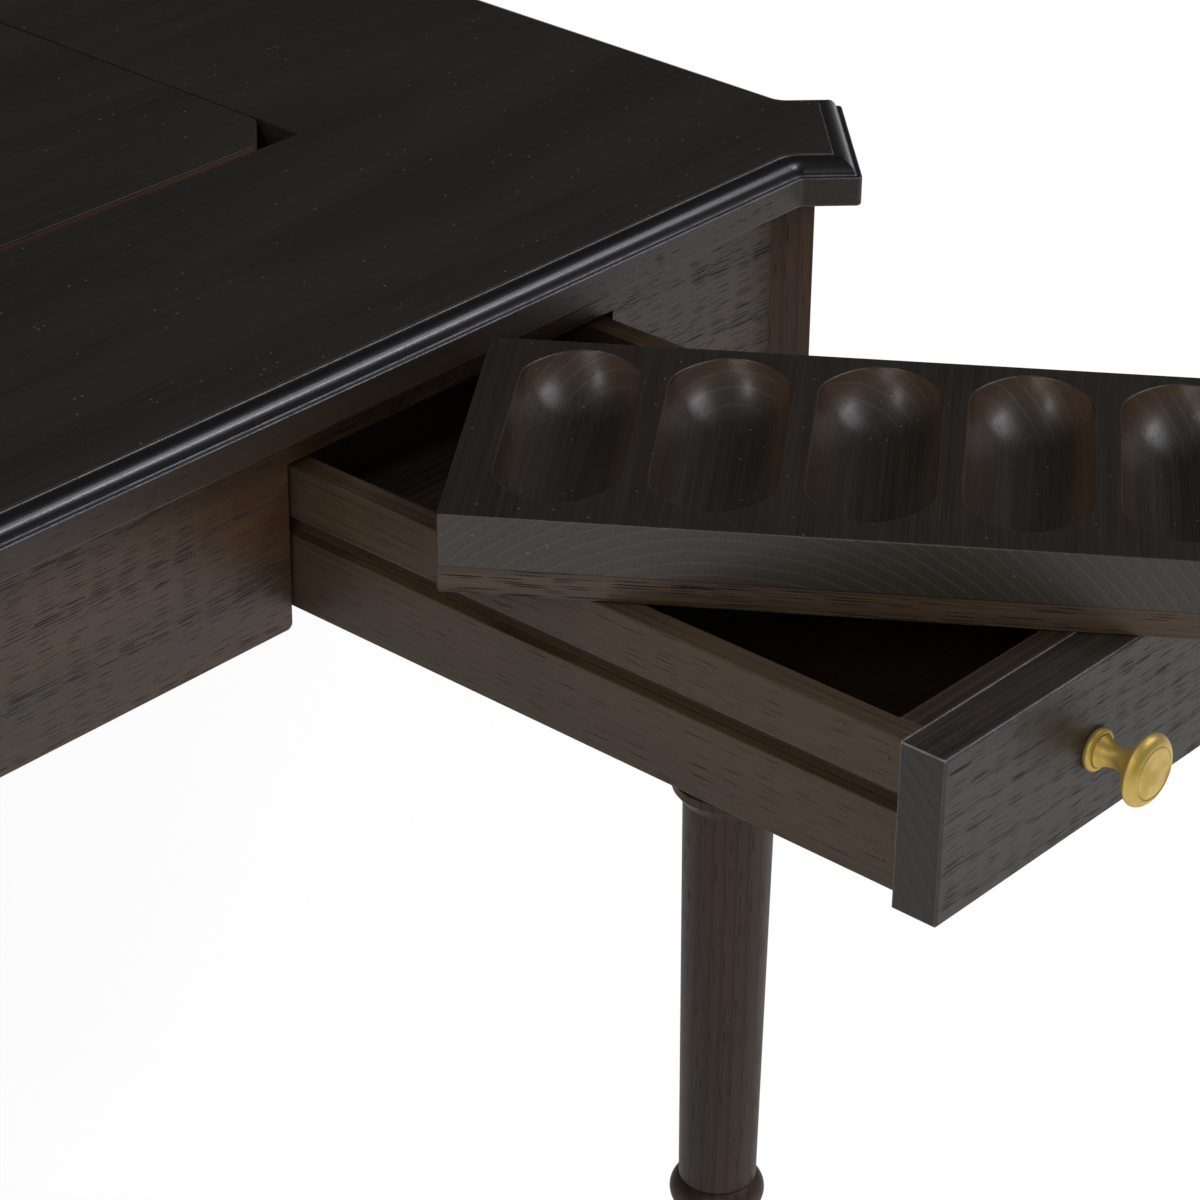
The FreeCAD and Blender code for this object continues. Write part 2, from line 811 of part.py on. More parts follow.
def make_drawer(quarter, side, pull):
    name = f"{side}_drawer"
    wall = size["side_thickness"]
    inner_left, inner_right = box_left + wall, box_right - wall
    front_back = box_near + size["box_end_thickness"]
    play = size["housing_play"]
    housing = size["bottom_housing"]
    hole = size["screw_radius"] + size["screw_clearance"]
    screw_at = (knob_middle, OVERRUN + box_far, knob_level)

    face = new_body(f"{name}_face")
    low, high = (face_left, -apron_face, face_foot), (face_right, box_near, face_top)
    board = block(face, f"{name}_face_board", low, high)
    rims = edges_where(board, lambda middle, along: close(middle.y, -apron_face))
    ease(face, board, f"{name}_face_edges", rims, size["face_arris"])
    length = box_length + size["face_thickness"] + 2 * OVERRUN
    rod(face, f"{name}_face_hole", hole, screw_at, length, ALONG_Y)
    seat(face, quarter, pull)

    box_front = new_body(f"{name}_box_front")
    low, high = (inner_left, box_near, box_foot), (inner_right, front_back, box_top)
    block(box_front, f"{name}_front_board", low, high)
    low = (inner_left, front_back - housing - play, bottom_foot - play)
    hollow(box_front, f"{name}_front_housing", low, (inner_right, front_back, bottom_top + play))
    rod(box_front, f"{name}_front_hole", hole, screw_at, length, ALONG_Y)
    seat(box_front, quarter, pull)

    for hand, outer, inner in (("left", box_left, inner_left), ("right", box_right, inner_right)):
        body = new_body(f"{name}_{hand}_side")
        inward = 1 if hand == "left" else -1
        groove = outer + size["groove_depth"] * inward
        house = inner - (housing + play) * inward
        low_x, high_x = (outer, inner) if hand == "left" else (inner, outer)
        block(body, f"{name}_{hand}_board", (low_x, box_near, box_foot), (high_x, box_far, box_top))
        low_x, high_x = (outer, groove) if hand == "left" else (groove, outer)
        low, high = (low_x, box_near, groove_foot), (high_x, box_far, groove_top)
        hollow(body, f"{name}_{hand}_runner_groove", low, high)
        low_x, high_x = (house, inner) if hand == "left" else (inner, house)
        low = (low_x, front_back - housing - play, bottom_foot - play)
        hollow(body, f"{name}_{hand}_housing", low, (high_x, box_far, bottom_top + play))
        seat(body, quarter, pull)

    back = new_body(f"{name}_back")
    low = (inner_left, box_far - size["box_end_thickness"], bottom_top)
    block(back, f"{name}_back_board", low, (inner_right, box_far, box_top))
    seat(back, quarter, pull)

    bottom = new_body(f"{name}_bottom")
    low = (inner_left - housing, front_back - housing, bottom_foot)
    block(bottom, f"{name}_bottom_board", low, (inner_right + housing, box_far, bottom_top))
    seat(bottom, quarter, pull)

    knob_at = quarter_turn(knob_middle, -apron_face - pull, quarter)
    outward = FreeCAD.Rotation(UP, QUARTER * quarter).multiply(
        FreeCAD.Rotation(FreeCAD.Vector(1, 0, 0), QUARTER)
    )
    knob = new_body(f"{name}_knob")
    section = outline(knob, f"{name}_knob_shape", "XZ_Plane", knob_profile())
    revolve(knob, f"{name}_knob_turning", section)
    depth = size["screw_bite"] + OVERRUN + play
    rod(knob, f"{name}_knob_thread", hole, (0, 0, -OVERRUN), depth, ALONG_Z)
    place(knob, *knob_at, knob_level, outward)
    screw = new_body(f"{name}_knob_screw")
    section = outline(screw, f"{name}_screw_shape", "XZ_Plane", screw_profile())
    revolve(screw, f"{name}_screw_turning", section)
    place(screw, *knob_at, knob_level, outward)


def knob_profile():
    # Half section from the base flange out to the face, with a fine groove on each.
    reach = size["knob_reach"]
    base = size["knob_base_radius"]
    base_top = size["knob_base_height"]
    groove = size["knob_groove"]
    shoulder = size["knob_shoulder_radius"]
    neck = size["knob_neck_radius"]
    radius = size["knob_radius"]
    rim_half = size["knob_rim_height"] / 2
    rim_mid = reach - rim_half
    face = size["knob_face_radius"]
    neck_level = (reach - size["knob_rim_height"] + base_top) / 2
    flange_half = base_top / 2
    rim_run = rim_half * rim_run_share
    flange_edge = base - flange_half * flange_flat_share
    hollow_run = (radius - neck) * hollow_run_share
    hollow_rise = (rim_mid - neck_level) * hollow_rise_share
    rim_back = rim_mid - rim_half * rim_edge_share
    return [
        (0, 0),
        (flange_edge, 0),
        (base, flange_half * flange_foot_share),
        (base, flange_half * flange_top_share),
        (shoulder + groove, base_top),
        (shoulder, base_top - groove),
        (shoulder, base_top + groove, bulge(shoulder - neck, neck_level - base_top - groove), -1),
        (neck, neck_level, bulge(hollow_run, hollow_rise), -1),
        (radius - rim_run, rim_back, rim_half * rim_back_share, 1),
        (radius, rim_mid, rim_half * rim_front_share, 1),
        (face + groove, reach - groove),
        (face, reach - 2 * groove),
        (face - groove, reach - groove),
        (0, reach),
    ]


def screw_profile():
    # Pan head against the inside of the box, shank through to the knob.
    head = -(size["face_thickness"] + size["box_end_thickness"])
    crown = head - size["screw_head_height"]
    flat = size["screw_head_radius"] * head_flat_share
    return [
        (0, crown),
        (flat, crown, size["screw_head_height"] * head_round_share, 1),
        (size["screw_head_radius"], head),
        (size["screw_radius"], head),
        (size["screw_radius"], size["screw_bite"]),
        (0, size["screw_bite"]),
    ]


def make_scoop():
    # Round-bottomed trough whose ends are noses rolled up to the surface.
    half_width = size["scoop_width"] / 2
    depth = size["scoop_depth"]
    lift = size["scoop_nose_lift"]
    half_length = size["scoop_length"] / 2
    nose = size["scoop_nose"]
    belly = depth + lift
    nose_radius = bulge(depth, nose)
    height = size["tray_base_height"] + size["tray_block_height"]
    barrel = new_body("scoop_barrel")
    profile = [
        (-half_length, 0),
        (half_length, 0),
        (half_length, lift, nose_radius, 1),
        (half_length - nose, belly),
        (nose - half_length, belly, nose_radius, 1),
        (-half_length, lift),
    ]
    section = outline(barrel, "scoop_barrel_shape", "XZ_Plane", profile)
    revolve(barrel, "scoop_barrel_turning", section, "H_Axis")
    barrel.Placement = FreeCAD.Placement(vector(0, 0, height + lift), FreeCAD.Rotation(UP, QUARTER))
    bind(barrel, "Placement.Base.z", height + lift)
    trough = doc.addObject("Part::Cylinder", "scoop_trough")
    radius = bulge(depth, half_width)
    bind(trough, "Radius", radius)
    bind(trough, "Height", size["scoop_length"])
    trough.Placement.Rotation = FreeCAD.Rotation(FreeCAD.Vector(1, 0, 0), QUARTER)
    bind(trough, "Placement.Base.y", half_length)
    bind(trough, "Placement.Base.z", height - depth + radius)
    scoop = doc.addObject("Part::Common", "scoop")
    scoop.Base, scoop.Tool = barrel, trough
    return scoop


def make_chip_tray():
    # Two boards glued face to face; the scoops are milled down to just above the glue line.
    length, width = size["tray_length"], size["tray_width"]
    seam = size["tray_base_height"]
    height = seam + size["tray_block_height"]
    scoop = make_scoop()
    scoops = []
    count = size["scoop_count"]
    for number in range(int(count.value)):
        copy = doc.addObject("App::Link", f"scoop_{number + 1}")
        copy.LinkedObject = scoop
        along = length / 2 + (number - (count - 1) / 2) * size["scoop_pitch"]
        bind(copy, "Placement.Base.x", along)
        bind(copy, "Placement.Base.y", width / 2 + size["scoop_shift"])
        scoops.append(copy)
    row = group("scoop_row", scoops)
    boards = {"chip_tray_base": (0, seam), "chip_tray_block": (seam, height)}
    for label, (low, high) in boards.items():
        blank = new_body(f"{label}_blank")
        board = block(blank, f"{label}_board", (0, 0, low), (length, width, high))
        outer = height if label == "chip_tray_block" else 0
        rims = edges_where(board, lambda middle, along: close(middle.z, outer) or abs(along.z) > 0.9)
        ease(blank, board, f"{label}_edges", rims, size["tray_arris"])
        milled = doc.addObject("Part::Cut", label)
        milled.Label = label
        milled.Base, milled.Tool = blank, row
        turn = FreeCAD.Rotation(UP, size["tray_turn"].value)
        place(milled, tray_corner_x, tray_corner_y, tray_foot, turn)
        bind(milled, "Placement.Rotation.Angle", size["tray_turn"])


def make_table():
    make_tabletop()
    make_game_panel()
    make_well()
    braces, bolts, nuts, glides, runners = [], [], [], [], []
    for quarter, (side, corner) in enumerate(zip(SIDES, CORNERS)):
        make_apron(quarter, side)
        make_leg(quarter, corner)
        braces.append(make_brace(quarter, corner))
        corner_bolts, corner_nuts = make_corner_bolts(quarter, corner)
        bolts += corner_bolts
        nuts += corner_nuts
        glides.append(make_glide(quarter, corner))
        runners += make_guides(quarter, side)
        make_drawer(quarter, side, front_pull if side == "front" else 0)
    group("corner_braces", braces)
    group("leg_bolts", bolts)
    group("leg_nuts", nuts)
    group("foot_glides", glides)
    group("drawer_runners", runners)
    make_chip_tray()


def node_labels():
    labels = ["tabletop", "game_panel", "well_rails", "panel_ledges", "well_floor"]
    labels += ["corner_braces", "leg_bolts", "leg_nuts", "foot_glides", "drawer_runners"]
    labels += ["chip_tray_base", "chip_tray_block"]
    labels += [f"{corner}_leg" for corner in CORNERS]
    pieces = ["face", "box_front", "left_side", "right_side", "back", "bottom", "knob", "knob_screw"]
    pieces += ["left_guide", "right_guide"]
    for side in SIDES:
        labels.append(f"{side}_apron")
        labels += [f"{side}_drawer_{piece}" for piece in pieces]
    return labels


def write_parts():
    failed = [item.Label for item in doc.Objects if "Invalid" in item.State or "Error" in item.State]
    if failed:
        raise RuntimeError(f"these objects failed: {failed}")
    os.makedirs("parts", exist_ok=True)
    for label in node_labels():
        piece = doc.getObjectsByLabel(label)[0]
        shape = piece.Shape
        if shape.isNull() or not shape.isValid() or not shape.Solids:
            raise RuntimeError(f"{label} has no valid solid")
        shape.exportStep(f"parts/{label}.step")
        print(label, len(shape.Solids), round(shape.Volume / 1000, 1), "cm3")


make_table()
doc.recompute()
write_parts()
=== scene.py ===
import json
import math

import bmesh
import bpy
from mathutils import Euler, Matrix, Vector


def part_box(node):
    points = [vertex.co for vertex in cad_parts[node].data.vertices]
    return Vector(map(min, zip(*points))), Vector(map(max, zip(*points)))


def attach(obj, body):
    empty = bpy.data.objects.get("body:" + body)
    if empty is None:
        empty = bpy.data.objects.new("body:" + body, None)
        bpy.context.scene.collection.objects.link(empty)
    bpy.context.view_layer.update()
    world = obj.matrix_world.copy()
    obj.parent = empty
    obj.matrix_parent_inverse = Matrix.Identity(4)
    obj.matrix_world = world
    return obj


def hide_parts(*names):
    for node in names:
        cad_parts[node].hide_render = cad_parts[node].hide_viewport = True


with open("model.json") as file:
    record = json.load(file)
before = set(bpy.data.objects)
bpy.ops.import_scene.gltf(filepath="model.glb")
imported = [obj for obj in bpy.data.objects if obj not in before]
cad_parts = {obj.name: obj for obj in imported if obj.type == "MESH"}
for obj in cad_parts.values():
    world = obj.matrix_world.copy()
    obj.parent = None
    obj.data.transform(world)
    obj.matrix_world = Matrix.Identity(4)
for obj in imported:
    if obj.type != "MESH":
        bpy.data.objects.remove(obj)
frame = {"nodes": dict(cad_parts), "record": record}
scene = bpy.context.scene
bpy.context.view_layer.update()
nodes = frame["nodes"]
bodyOf = {
    node: body for body, held in frame["record"]["behaviour"]["bodies"].items() for node in held
}

sides = ["front", "right", "back", "left"]
corners = ["front_right", "back_right", "back_left", "front_left"]
rootTwo = math.sqrt(2)

topLow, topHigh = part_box("tabletop")
middle = Vector(((topLow.x + topHigh.x) / 2, (topLow.y + topHigh.y) / 2, 0))
topLevel = topHigh.z
underside = topLow.z

# Sizes that several pieces share, in metres
shared = {
    "half": 0.487, "earClip": 0.01632, "earHalf": 0.0459, "bend": 0.004, "openingHalf": 0.284,
    "postHalf": 0.030, "postInset": 0.0206, "postHeight": 0.127, "postChamfer": 0.003,
}
earReach = shared["half"] * rootTwo - shared["earClip"]
legAxis = (earReach - shared["postInset"] - shared["postHalf"]) / rootTwo


def centreOf(node):
    low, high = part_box(node)
    return (low + high) / 2


# Outlines and meshes

def quarterTurn(x, y, quarter):
    for _ in range(quarter):
        x, y = -y, x
    return x, y


def bulge(run, rise):
    # Radius of an arc that starts square to the run and ends the run and the rise away
    return (run * run + rise * rise) / (run * 2)


def swung(point, centre, angle):
    arm = point - centre
    return centre + Vector((
        arm.x * math.cos(angle) - arm.y * math.sin(angle),
        arm.x * math.sin(angle) + arm.y * math.cos(angle),
    ))


def curved(start, corner, finish, share):
    return start.lerp(corner, share).lerp(corner.lerp(finish, share), share)


def tracePath(steps, detail):
    # Steps are (x, y) or (x, y, radius, side): the stretch that leaves a step is straight, or an
    # arc that bends to the left (+1) or the right (-1). Without a radius one end is upright.
    points = []
    for step, after in zip(steps, steps[1:]):
        start, finish = Vector(step[:2]), Vector(after[:2])
        points.append(start)
        if len(step) == 2:
            continue
        radius, side = step[2:]
        radius = radius or bulge(abs(after[0] - step[0]), after[1] - step[1])
        chord = finish - start
        rise = math.sqrt(max(radius ** 2 - (chord.length / 2) ** 2, 0))
        across = Vector((-chord.y, chord.x)).normalized() * side
        centre = (start + finish) / 2 + across * rise
        opening = 2 * math.asin(min(chord.length / 2 / radius, 1))
        pieces = max(2, math.ceil(opening / detail))
        points += [swung(start, centre, side * opening * piece / pieces) for piece in range(1, pieces)]
    return points + [Vector(steps[-1][:2])]


def softened(points, radius, closed=False, least=0.45, pieces=3):
    # Round each corner that turns by more than the least angle.
    most = 0.42  # Share of the next stretch that a rounded corner may take
    soft = []
    count = len(points)
    for index, point in enumerate(points):
        back, ahead = points[index - 1] - point, points[(index + 1) % count] - point
        isEnd = not closed and index in (0, count - 1)
        isKept = isEnd or min(back.length, ahead.length) < 1e-9
        turn = 0 if isKept else math.pi - back.angle(ahead)
        if turn < least:
            soft.append(point)
            continue
        reach = min(radius * math.tan(turn / 2), back.length * most, ahead.length * most)
        start, finish = point + back.normalized() * reach, point + ahead.normalized() * reach
        soft += [curved(start, point, finish, piece / pieces) for piece in range(pieces + 1)]
    return soft


def earedLoop(inset):
    # Outline of the top, drawn in from its edge face, with the ear's corners rounded.
    size = {"tip": 0.0026, "leastTip": 0.0002, "steps": 8}
    half, width = shared["half"] - inset, shared["earHalf"] - inset
    reach, bend = earReach - inset, shared["bend"] + inset
    tip = max(size["tip"] - inset, size["leastTip"])
    corner = half - width * rootTwo
    near, far = (reach - width) / rootTwo, (reach + width) / rootTwo
    # Each bend has its place, the headings before and after it in degrees, and its radius.
    bends = (
        (corner, -half, 0, -45, bend), (near, -far, -45, 45, tip),
        (far, -near, 45, 135, tip), (half, -corner, 135, 90, bend),
    )
    loop = []
    for quarter in range(4):
        for x, y, before, after, radius in bends:
            heading, turn = math.radians(before), math.radians(after - before)
            come = Vector((math.cos(heading), math.sin(heading)))
            start = Vector((x, y)) - come * (radius * math.tan(abs(turn) / 2))
            centre = start + Vector((-come.y, come.x)) * math.copysign(radius, turn)
            for step in range(size["steps"] + 1):
                spot = swung(start, centre, turn * step / size["steps"])
                loop.append(quarterTurn(spot.x, spot.y, quarter))
    return loop


def roundedLoop(halfX, halfY, clip, radius, pieces):
    # Rectangle with clipped corners, or plain ones where the clip is zero, all rounded.
    corner = [(halfX - clip, -halfY), (halfX, -halfY + clip)] if clip else [(halfX, -halfY)]
    steps = []
    for flipX, flipY, order in ((1, 1, 1), (1, -1, -1), (-1, -1, 1), (-1, 1, -1)):
        steps += [Vector((x * flipX, y * flipY)) for x, y in corner[::order]]
    return softened(steps, radius, closed=True, least=0.1, pieces=pieces)


def drawnIn(points, amount):
    # The outline moved inwards by an amount. Its points run anticlockwise.
    moved = []
    for index, point in enumerate(points):
        before, after = points[index - 1], points[(index + 1) % len(points)]
        along = ((point - before).normalized() + (after - point).normalized()).normalized()
        moved.append(point + Vector((-along.y, along.x)) * amount)
    return moved


def addRing(bm, loop, level):
    return [bm.verts.new((x, y, level)) for x, y in loop]


def stitch(bm, near, far, index, after):
    # A face between two rows, of which one may be a single point
    lower = near if len(near) == 1 else [near[index], near[after]]
    upper = far if len(far) == 1 else [far[after], far[index]]
    return bm.faces.new(lower + upper)


def bridge(bm, rings, kinds=None):
    # Faces from each closed ring to the next. The kinds are their material slots.
    made = []
    for number, (lower, upper) in enumerate(zip(rings, rings[1:])):
        count = max(len(lower), len(upper))
        for index in range(count):
            face = stitch(bm, lower, upper, index, (index + 1) % count)
            face.material_index = kinds[number] if kinds else 0
            made.append(face)
    return made


def fillRings(bm, rings):
    edges = []
    for ring in rings:
        for index, vertex in enumerate(ring):
            after = ring[(index + 1) % len(ring)]
            edges.append(bm.edges.get((vertex, after)) or bm.edges.new((vertex, after)))
    bmesh.ops.triangle_fill(bm, use_beauty=True, use_dissolve=False, edges=edges)


def turnProfile(bm, profile, segments):
    # Turn a half section (radius, level) round Z. Its ends on the axis close the shape.
    rings = []
    for x, z in profile:
        angles = [2 * math.pi * step / segments for step in range(segments if x > 1e-7 else 1)]
        rings.append([bm.verts.new((x * math.cos(a), x * math.sin(a), z)) for a in angles])
    bridge(bm, rings)
    return rings[-1]


def newMesh(name, bm, place, sharp=40):
    bmesh.ops.transform(bm, matrix=place, verts=bm.verts)
    bmesh.ops.remove_doubles(bm, verts=bm.verts, dist=1e-6)
    bmesh.ops.recalc_face_normals(bm, faces=bm.faces)
    for face in bm.faces:
        face.smooth = True
    for edge in bm.edges:
        edge.smooth = not (edge.is_manifold and edge.calc_face_angle() > math.radians(sharp))
    mesh = bpy.data.meshes.new(name)
    bm.to_mesh(mesh)
    bm.free()
    return mesh


def axesAt(place, x, y, z):
    return Matrix.Translation(place) @ Matrix((x, y, z)).transposed().to_4x4()


def addObject(name, data):
    made = bpy.data.objects.new(name, data)
    scene.collection.objects.link(made)
    return made


def weightNormals(piece):
    weighted = piece.modifiers.new("Flat faces", "WEIGHTED_NORMAL")
    weighted.keep_sharp = True
    weighted.weight = 80


def addPiece(name, mesh, materials, node, slot=None):
    # The piece stands in for the node, or adds to it if it has a slot of its own.
    piece = addObject(name, mesh)
    for material in materials:
        mesh.materials.append(material)
    weightNormals(piece)
    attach(piece, bodyOf[node])
    if not slot:
        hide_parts(node)


def dressNode(name, material, arris=None, pieces=3):
    # A carried-over solid keeps its mesh. Modifiers ease its edges.
    node = nodes[name]
    for slot in node.material_slots:
        slot.material = material
    if not arris:
        return
    weld = node.modifiers.new("Joined", "WELD")
    weld.merge_threshold = 2e-6
    eased = node.modifiers.new("Eased edges", "BEVEL")
    eased.width = arris
    eased.segments = pieces
    eased.limit_method = "ANGLE"
    eased.angle_limit = math.radians(40)
    eased.harden_normals = True
    weightNormals(node)


# Shader helpers. A shade is three numbers from 0 to 255.

def toLinear(shade):
    parts = [value / 255 for value in shade]
    return [s / 12.92 if s <= 0.04045 else ((s + 0.055) / 1.055) ** 2.4 for s in parts] + [1.0]


def addNode(tree, kind, inputs=None, **choices):
    made = tree.nodes.new("ShaderNode" + kind)
    for key, value in choices.items():
        setattr(made, key, value)
    for key, value in (inputs or {}).items():
        if isinstance(value, bpy.types.NodeSocket):
            tree.links.new(value, made.inputs[key])
        else:
            made.inputs[key].default_value = value
    return made


def doMath(tree, operation, first, second=None, clamp=False):
    inputs = {0: first} if second is None else {0: first, 1: second}
    return addNode(tree, "Math", inputs, operation=operation, use_clamp=clamp).outputs[0]


def multiply(tree, product, *factors):
    for factor in factors:
        product = doMath(tree, "MULTIPLY", product, factor)
    return product


def mixColour(tree, factor, first, second):
    # Each colour is a shade or the socket that it comes from.
    first, second = [toLinear(c) if isinstance(c, tuple) else c for c in (first, second)]
    inputs = {0: factor, 6: first, 7: second}
    return addNode(tree, "Mix", inputs, data_type="RGBA").outputs[2]


def mixValue(tree, factor, first, second):
    inputs = {0: factor, 2: first, 3: second}
    return addNode(tree, "Mix", inputs, data_type="FLOAT").outputs[0]


def mapRange(tree, value, low, high, start=0.0, finish=1.0, smooth=True):
    inputs = {"Value": value, "From Min": low, "From Max": high, "To Min": start, "To Max": finish}
    kind = "SMOOTHSTEP" if smooth else "LINEAR"
    return addNode(tree, "MapRange", inputs, interpolation_type=kind).outputs[0]


def stretched(tree, place, scale):
    inputs = {0: place, 1: scale}
    return addNode(tree, "VectorMath", inputs, operation="MULTIPLY").outputs[0]


def dotProduct(tree, first, second):
    inputs = {0: first, 1: second}
    return addNode(tree, "VectorMath", inputs, operation="DOT_PRODUCT").outputs["Value"]


def split(tree, vector):
    return addNode(tree, "SeparateXYZ", {0: vector}).outputs


def coordinate(tree, kind):
    return addNode(tree, "TexCoord").outputs[kind]


def noise(tree, place, scale=1.0, detail=2.0, roughness=0.5):
    inputs = {"Vector": place, "Scale": scale, "Detail": detail, "Roughness": roughness}
    return addNode(tree, "TexNoise", inputs).outputs["Fac"]


def scatter(tree, place, scale):
    # How far the nearest of many scattered points is, and that point's own random number
    cells = addNode(tree, "TexVoronoi", {"Vector": place, "Scale": scale}).outputs
    chance = addNode(tree, "SeparateColor", {0: cells["Color"]}).outputs[0]
    return cells["Distance"], chance


def bumped(tree, height, strength, distance):
    inputs = {"Height": height, "Strength": strength, "Distance": distance}
    return addNode(tree, "Bump", inputs).outputs[0]


def newMaterial(name):
    material = bpy.data.materials.new(name)
    material.use_nodes = True
    material.node_tree.nodes.clear()
    return material, material.node_tree


def endWith(tree, shader):
    output = tree.nodes.new("ShaderNodeOutputMaterial")
    tree.links.new(shader, output.inputs["Surface"])


def endSurface(tree, inputs):
    endWith(tree, addNode(tree, "BsdfPrincipled", inputs).outputs[0])


def newGroup(name, inputs):
    # An input without a value is a vector.
    tree = bpy.data.node_groups.new(name, "ShaderNodeTree")
    for label, value in inputs.items():
        kind = "NodeSocketVector" if value is None else "NodeSocketFloat"
        socket = tree.interface.new_socket(label, in_out="INPUT", socket_type=kind)
        if value is not None:
            socket.default_value = value
    return tree, tree.nodes.new("NodeGroupInput").outputs


def endGroup(tree, outputs):
    for label in outputs:
        tree.interface.new_socket(label, in_out="OUTPUT", socket_type="NodeSocketFloat")
    result = tree.nodes.new("NodeGroupOutput")
    for label, value in outputs.items():
        tree.links.new(value, result.inputs[label])
    return tree


# What a wood's look has where it doesn't say otherwise
plainLook = {
    "fibre": 0.35, "ringMix": 0.3, "ringGap": 0.005, "ringWander": 0.004, "ringStart": 0.45,
    "poreMix": 0.6, "poreLength": 0.010, "poreWidth": 0.0008, "poreCover": 0.4, "poreRough": 0.4,
    "endFrom": 0.45, "endMix": 0.0, "slopeMix": 0.0, "specks": 0.0, "rub": 0.0,
    "rubAndHighlightRadius": 0.0012, "seamShade": (14, 12, 10), "roughness": 0.44, "bump": 0.2,
    "poreLift": -1.0, "fibreLift": 0.25, "ringLift": 0.12, "specular": 0.5, "coat": 0.0,
    "coatRoughness": 0.3,
}
grainSizes = ("ringGap", "ringWander", "ringStart", "poreLength", "poreWidth", "poreCover")


def makeWoodGrain():
    # Solid timber whose grain runs along X: year rings round the X axis, open pores drawn out
    # along the grain, fine fibre and broad changes of shade.
    size = {
        "drift": (1.3, 9.0, 9.0), "driftReach": 4.0, "ripple": (9.0, 60.0, 60.0),
        "rippleReach": 0.0012, "fibre": (9.0, 720.0, 720.0), "cloud": (3.0, 22.0, 22.0),
        "lateEnd": 0.93, "ringEnd": 0.94, "poresEarly": 1.25, "poresLate": 0.8,
        "leastPore": 0.15, "poreEdge": 0.08,
    }
    sizes = {key: plainLook[key] for key in grainSizes}
    tree, given = newGroup("woodGrain", {"place": None, **sizes})
    place = given["place"]
    x, y, z = split(tree, place)
    radius = doMath(tree, "SQRT", doMath(tree, "ADD", multiply(tree, y, y), multiply(tree, z, z)))
    waves = []
    for kind, reach in (
        ("drift", multiply(tree, given["ringWander"], size["driftReach"])),
        ("ripple", size["rippleReach"]),
    ):
        wave = doMath(tree, "SUBTRACT", noise(tree, stretched(tree, place, size[kind])), 0.5)
        waves.append(multiply(tree, wave, reach))
    wandered = doMath(tree, "ADD", doMath(tree, "ADD", radius, waves[0]), waves[1])
    phase = doMath(tree, "FRACT", doMath(tree, "DIVIDE", wandered, given["ringGap"]))
    late = mapRange(tree, phase, given["ringStart"], size["lateEnd"])
    rings = multiply(tree, late, mapRange(tree, phase, size["ringEnd"], 1.0, 1.0, 0.0))
    cells = addNode(tree, "CombineXYZ", {
        0: doMath(tree, "DIVIDE", x, given["poreLength"]),
        1: doMath(tree, "DIVIDE", y, given["poreWidth"]),
        2: doMath(tree, "DIVIDE", z, given["poreWidth"]),
    }).outputs[0]
    away, chance = scatter(tree, cells, 1.0)
    early = mapRange(tree, phase, 0.0, 0.5, size["poresEarly"], size["poresLate"])
    reach = mapRange(tree, chance, 0.0, 1.0, size["leastPore"], 1.0, smooth=False)
    reach = multiply(tree, reach, early, given["poreCover"])
    return endGroup(tree, {
        "rings": rings,
        "pores": mapRange(tree, doMath(tree, "SUBTRACT", reach, away), 0.0, size["poreEdge"]),
        "fibre": noise(tree, stretched(tree, place, size["fibre"]), detail=3.0, roughness=0.6),
        "cloud": noise(tree, stretched(tree, place, size["cloud"]), detail=3.0, roughness=0.55),
    })


def makeRubbedEdgeAndHighlight():
    # Worn arrises with a painted highlight: where the rounded normal leaves the face's own, strongest
    # where it faces up, as if lit from above.
    tree, given = newGroup("rubbedEdgeAndHighlight", {"radius": 0.001, "strength": 1.0})
    rounded = addNode(tree, "Bevel", {"Radius": given["radius"]}, samples=4).outputs[0]
    facing = dotProduct(tree, rounded, addNode(tree, "NewGeometry").outputs["Normal"])
    patchy = noise(tree, coordinate(tree, "Object"), 160.0)
    # Patchy wear, times a painted highlight that is strongest on arrises that face up
    wornAndLit = multiply(
        tree, mapRange(tree, facing, 0.995, 0.86), mapRange(tree, patchy, 0.3, 0.7, 0.6, 1.0),
        mapRange(tree, split(tree, rounded)[2], 0.1, 0.5, 0.3, 1.0),
    )
    return endGroup(tree, {"edge": doMath(tree, "MULTIPLY", wornAndLit, given["strength"], clamp=True)})


woodGrain = makeWoodGrain()
rubbedEdgeAndHighlight = makeRubbedEdgeAndHighlight()
alongX = (0, 0, 0)
alongY = (0, 0, -math.pi / 2)
alongZ = (0, math.pi / 2, 0)


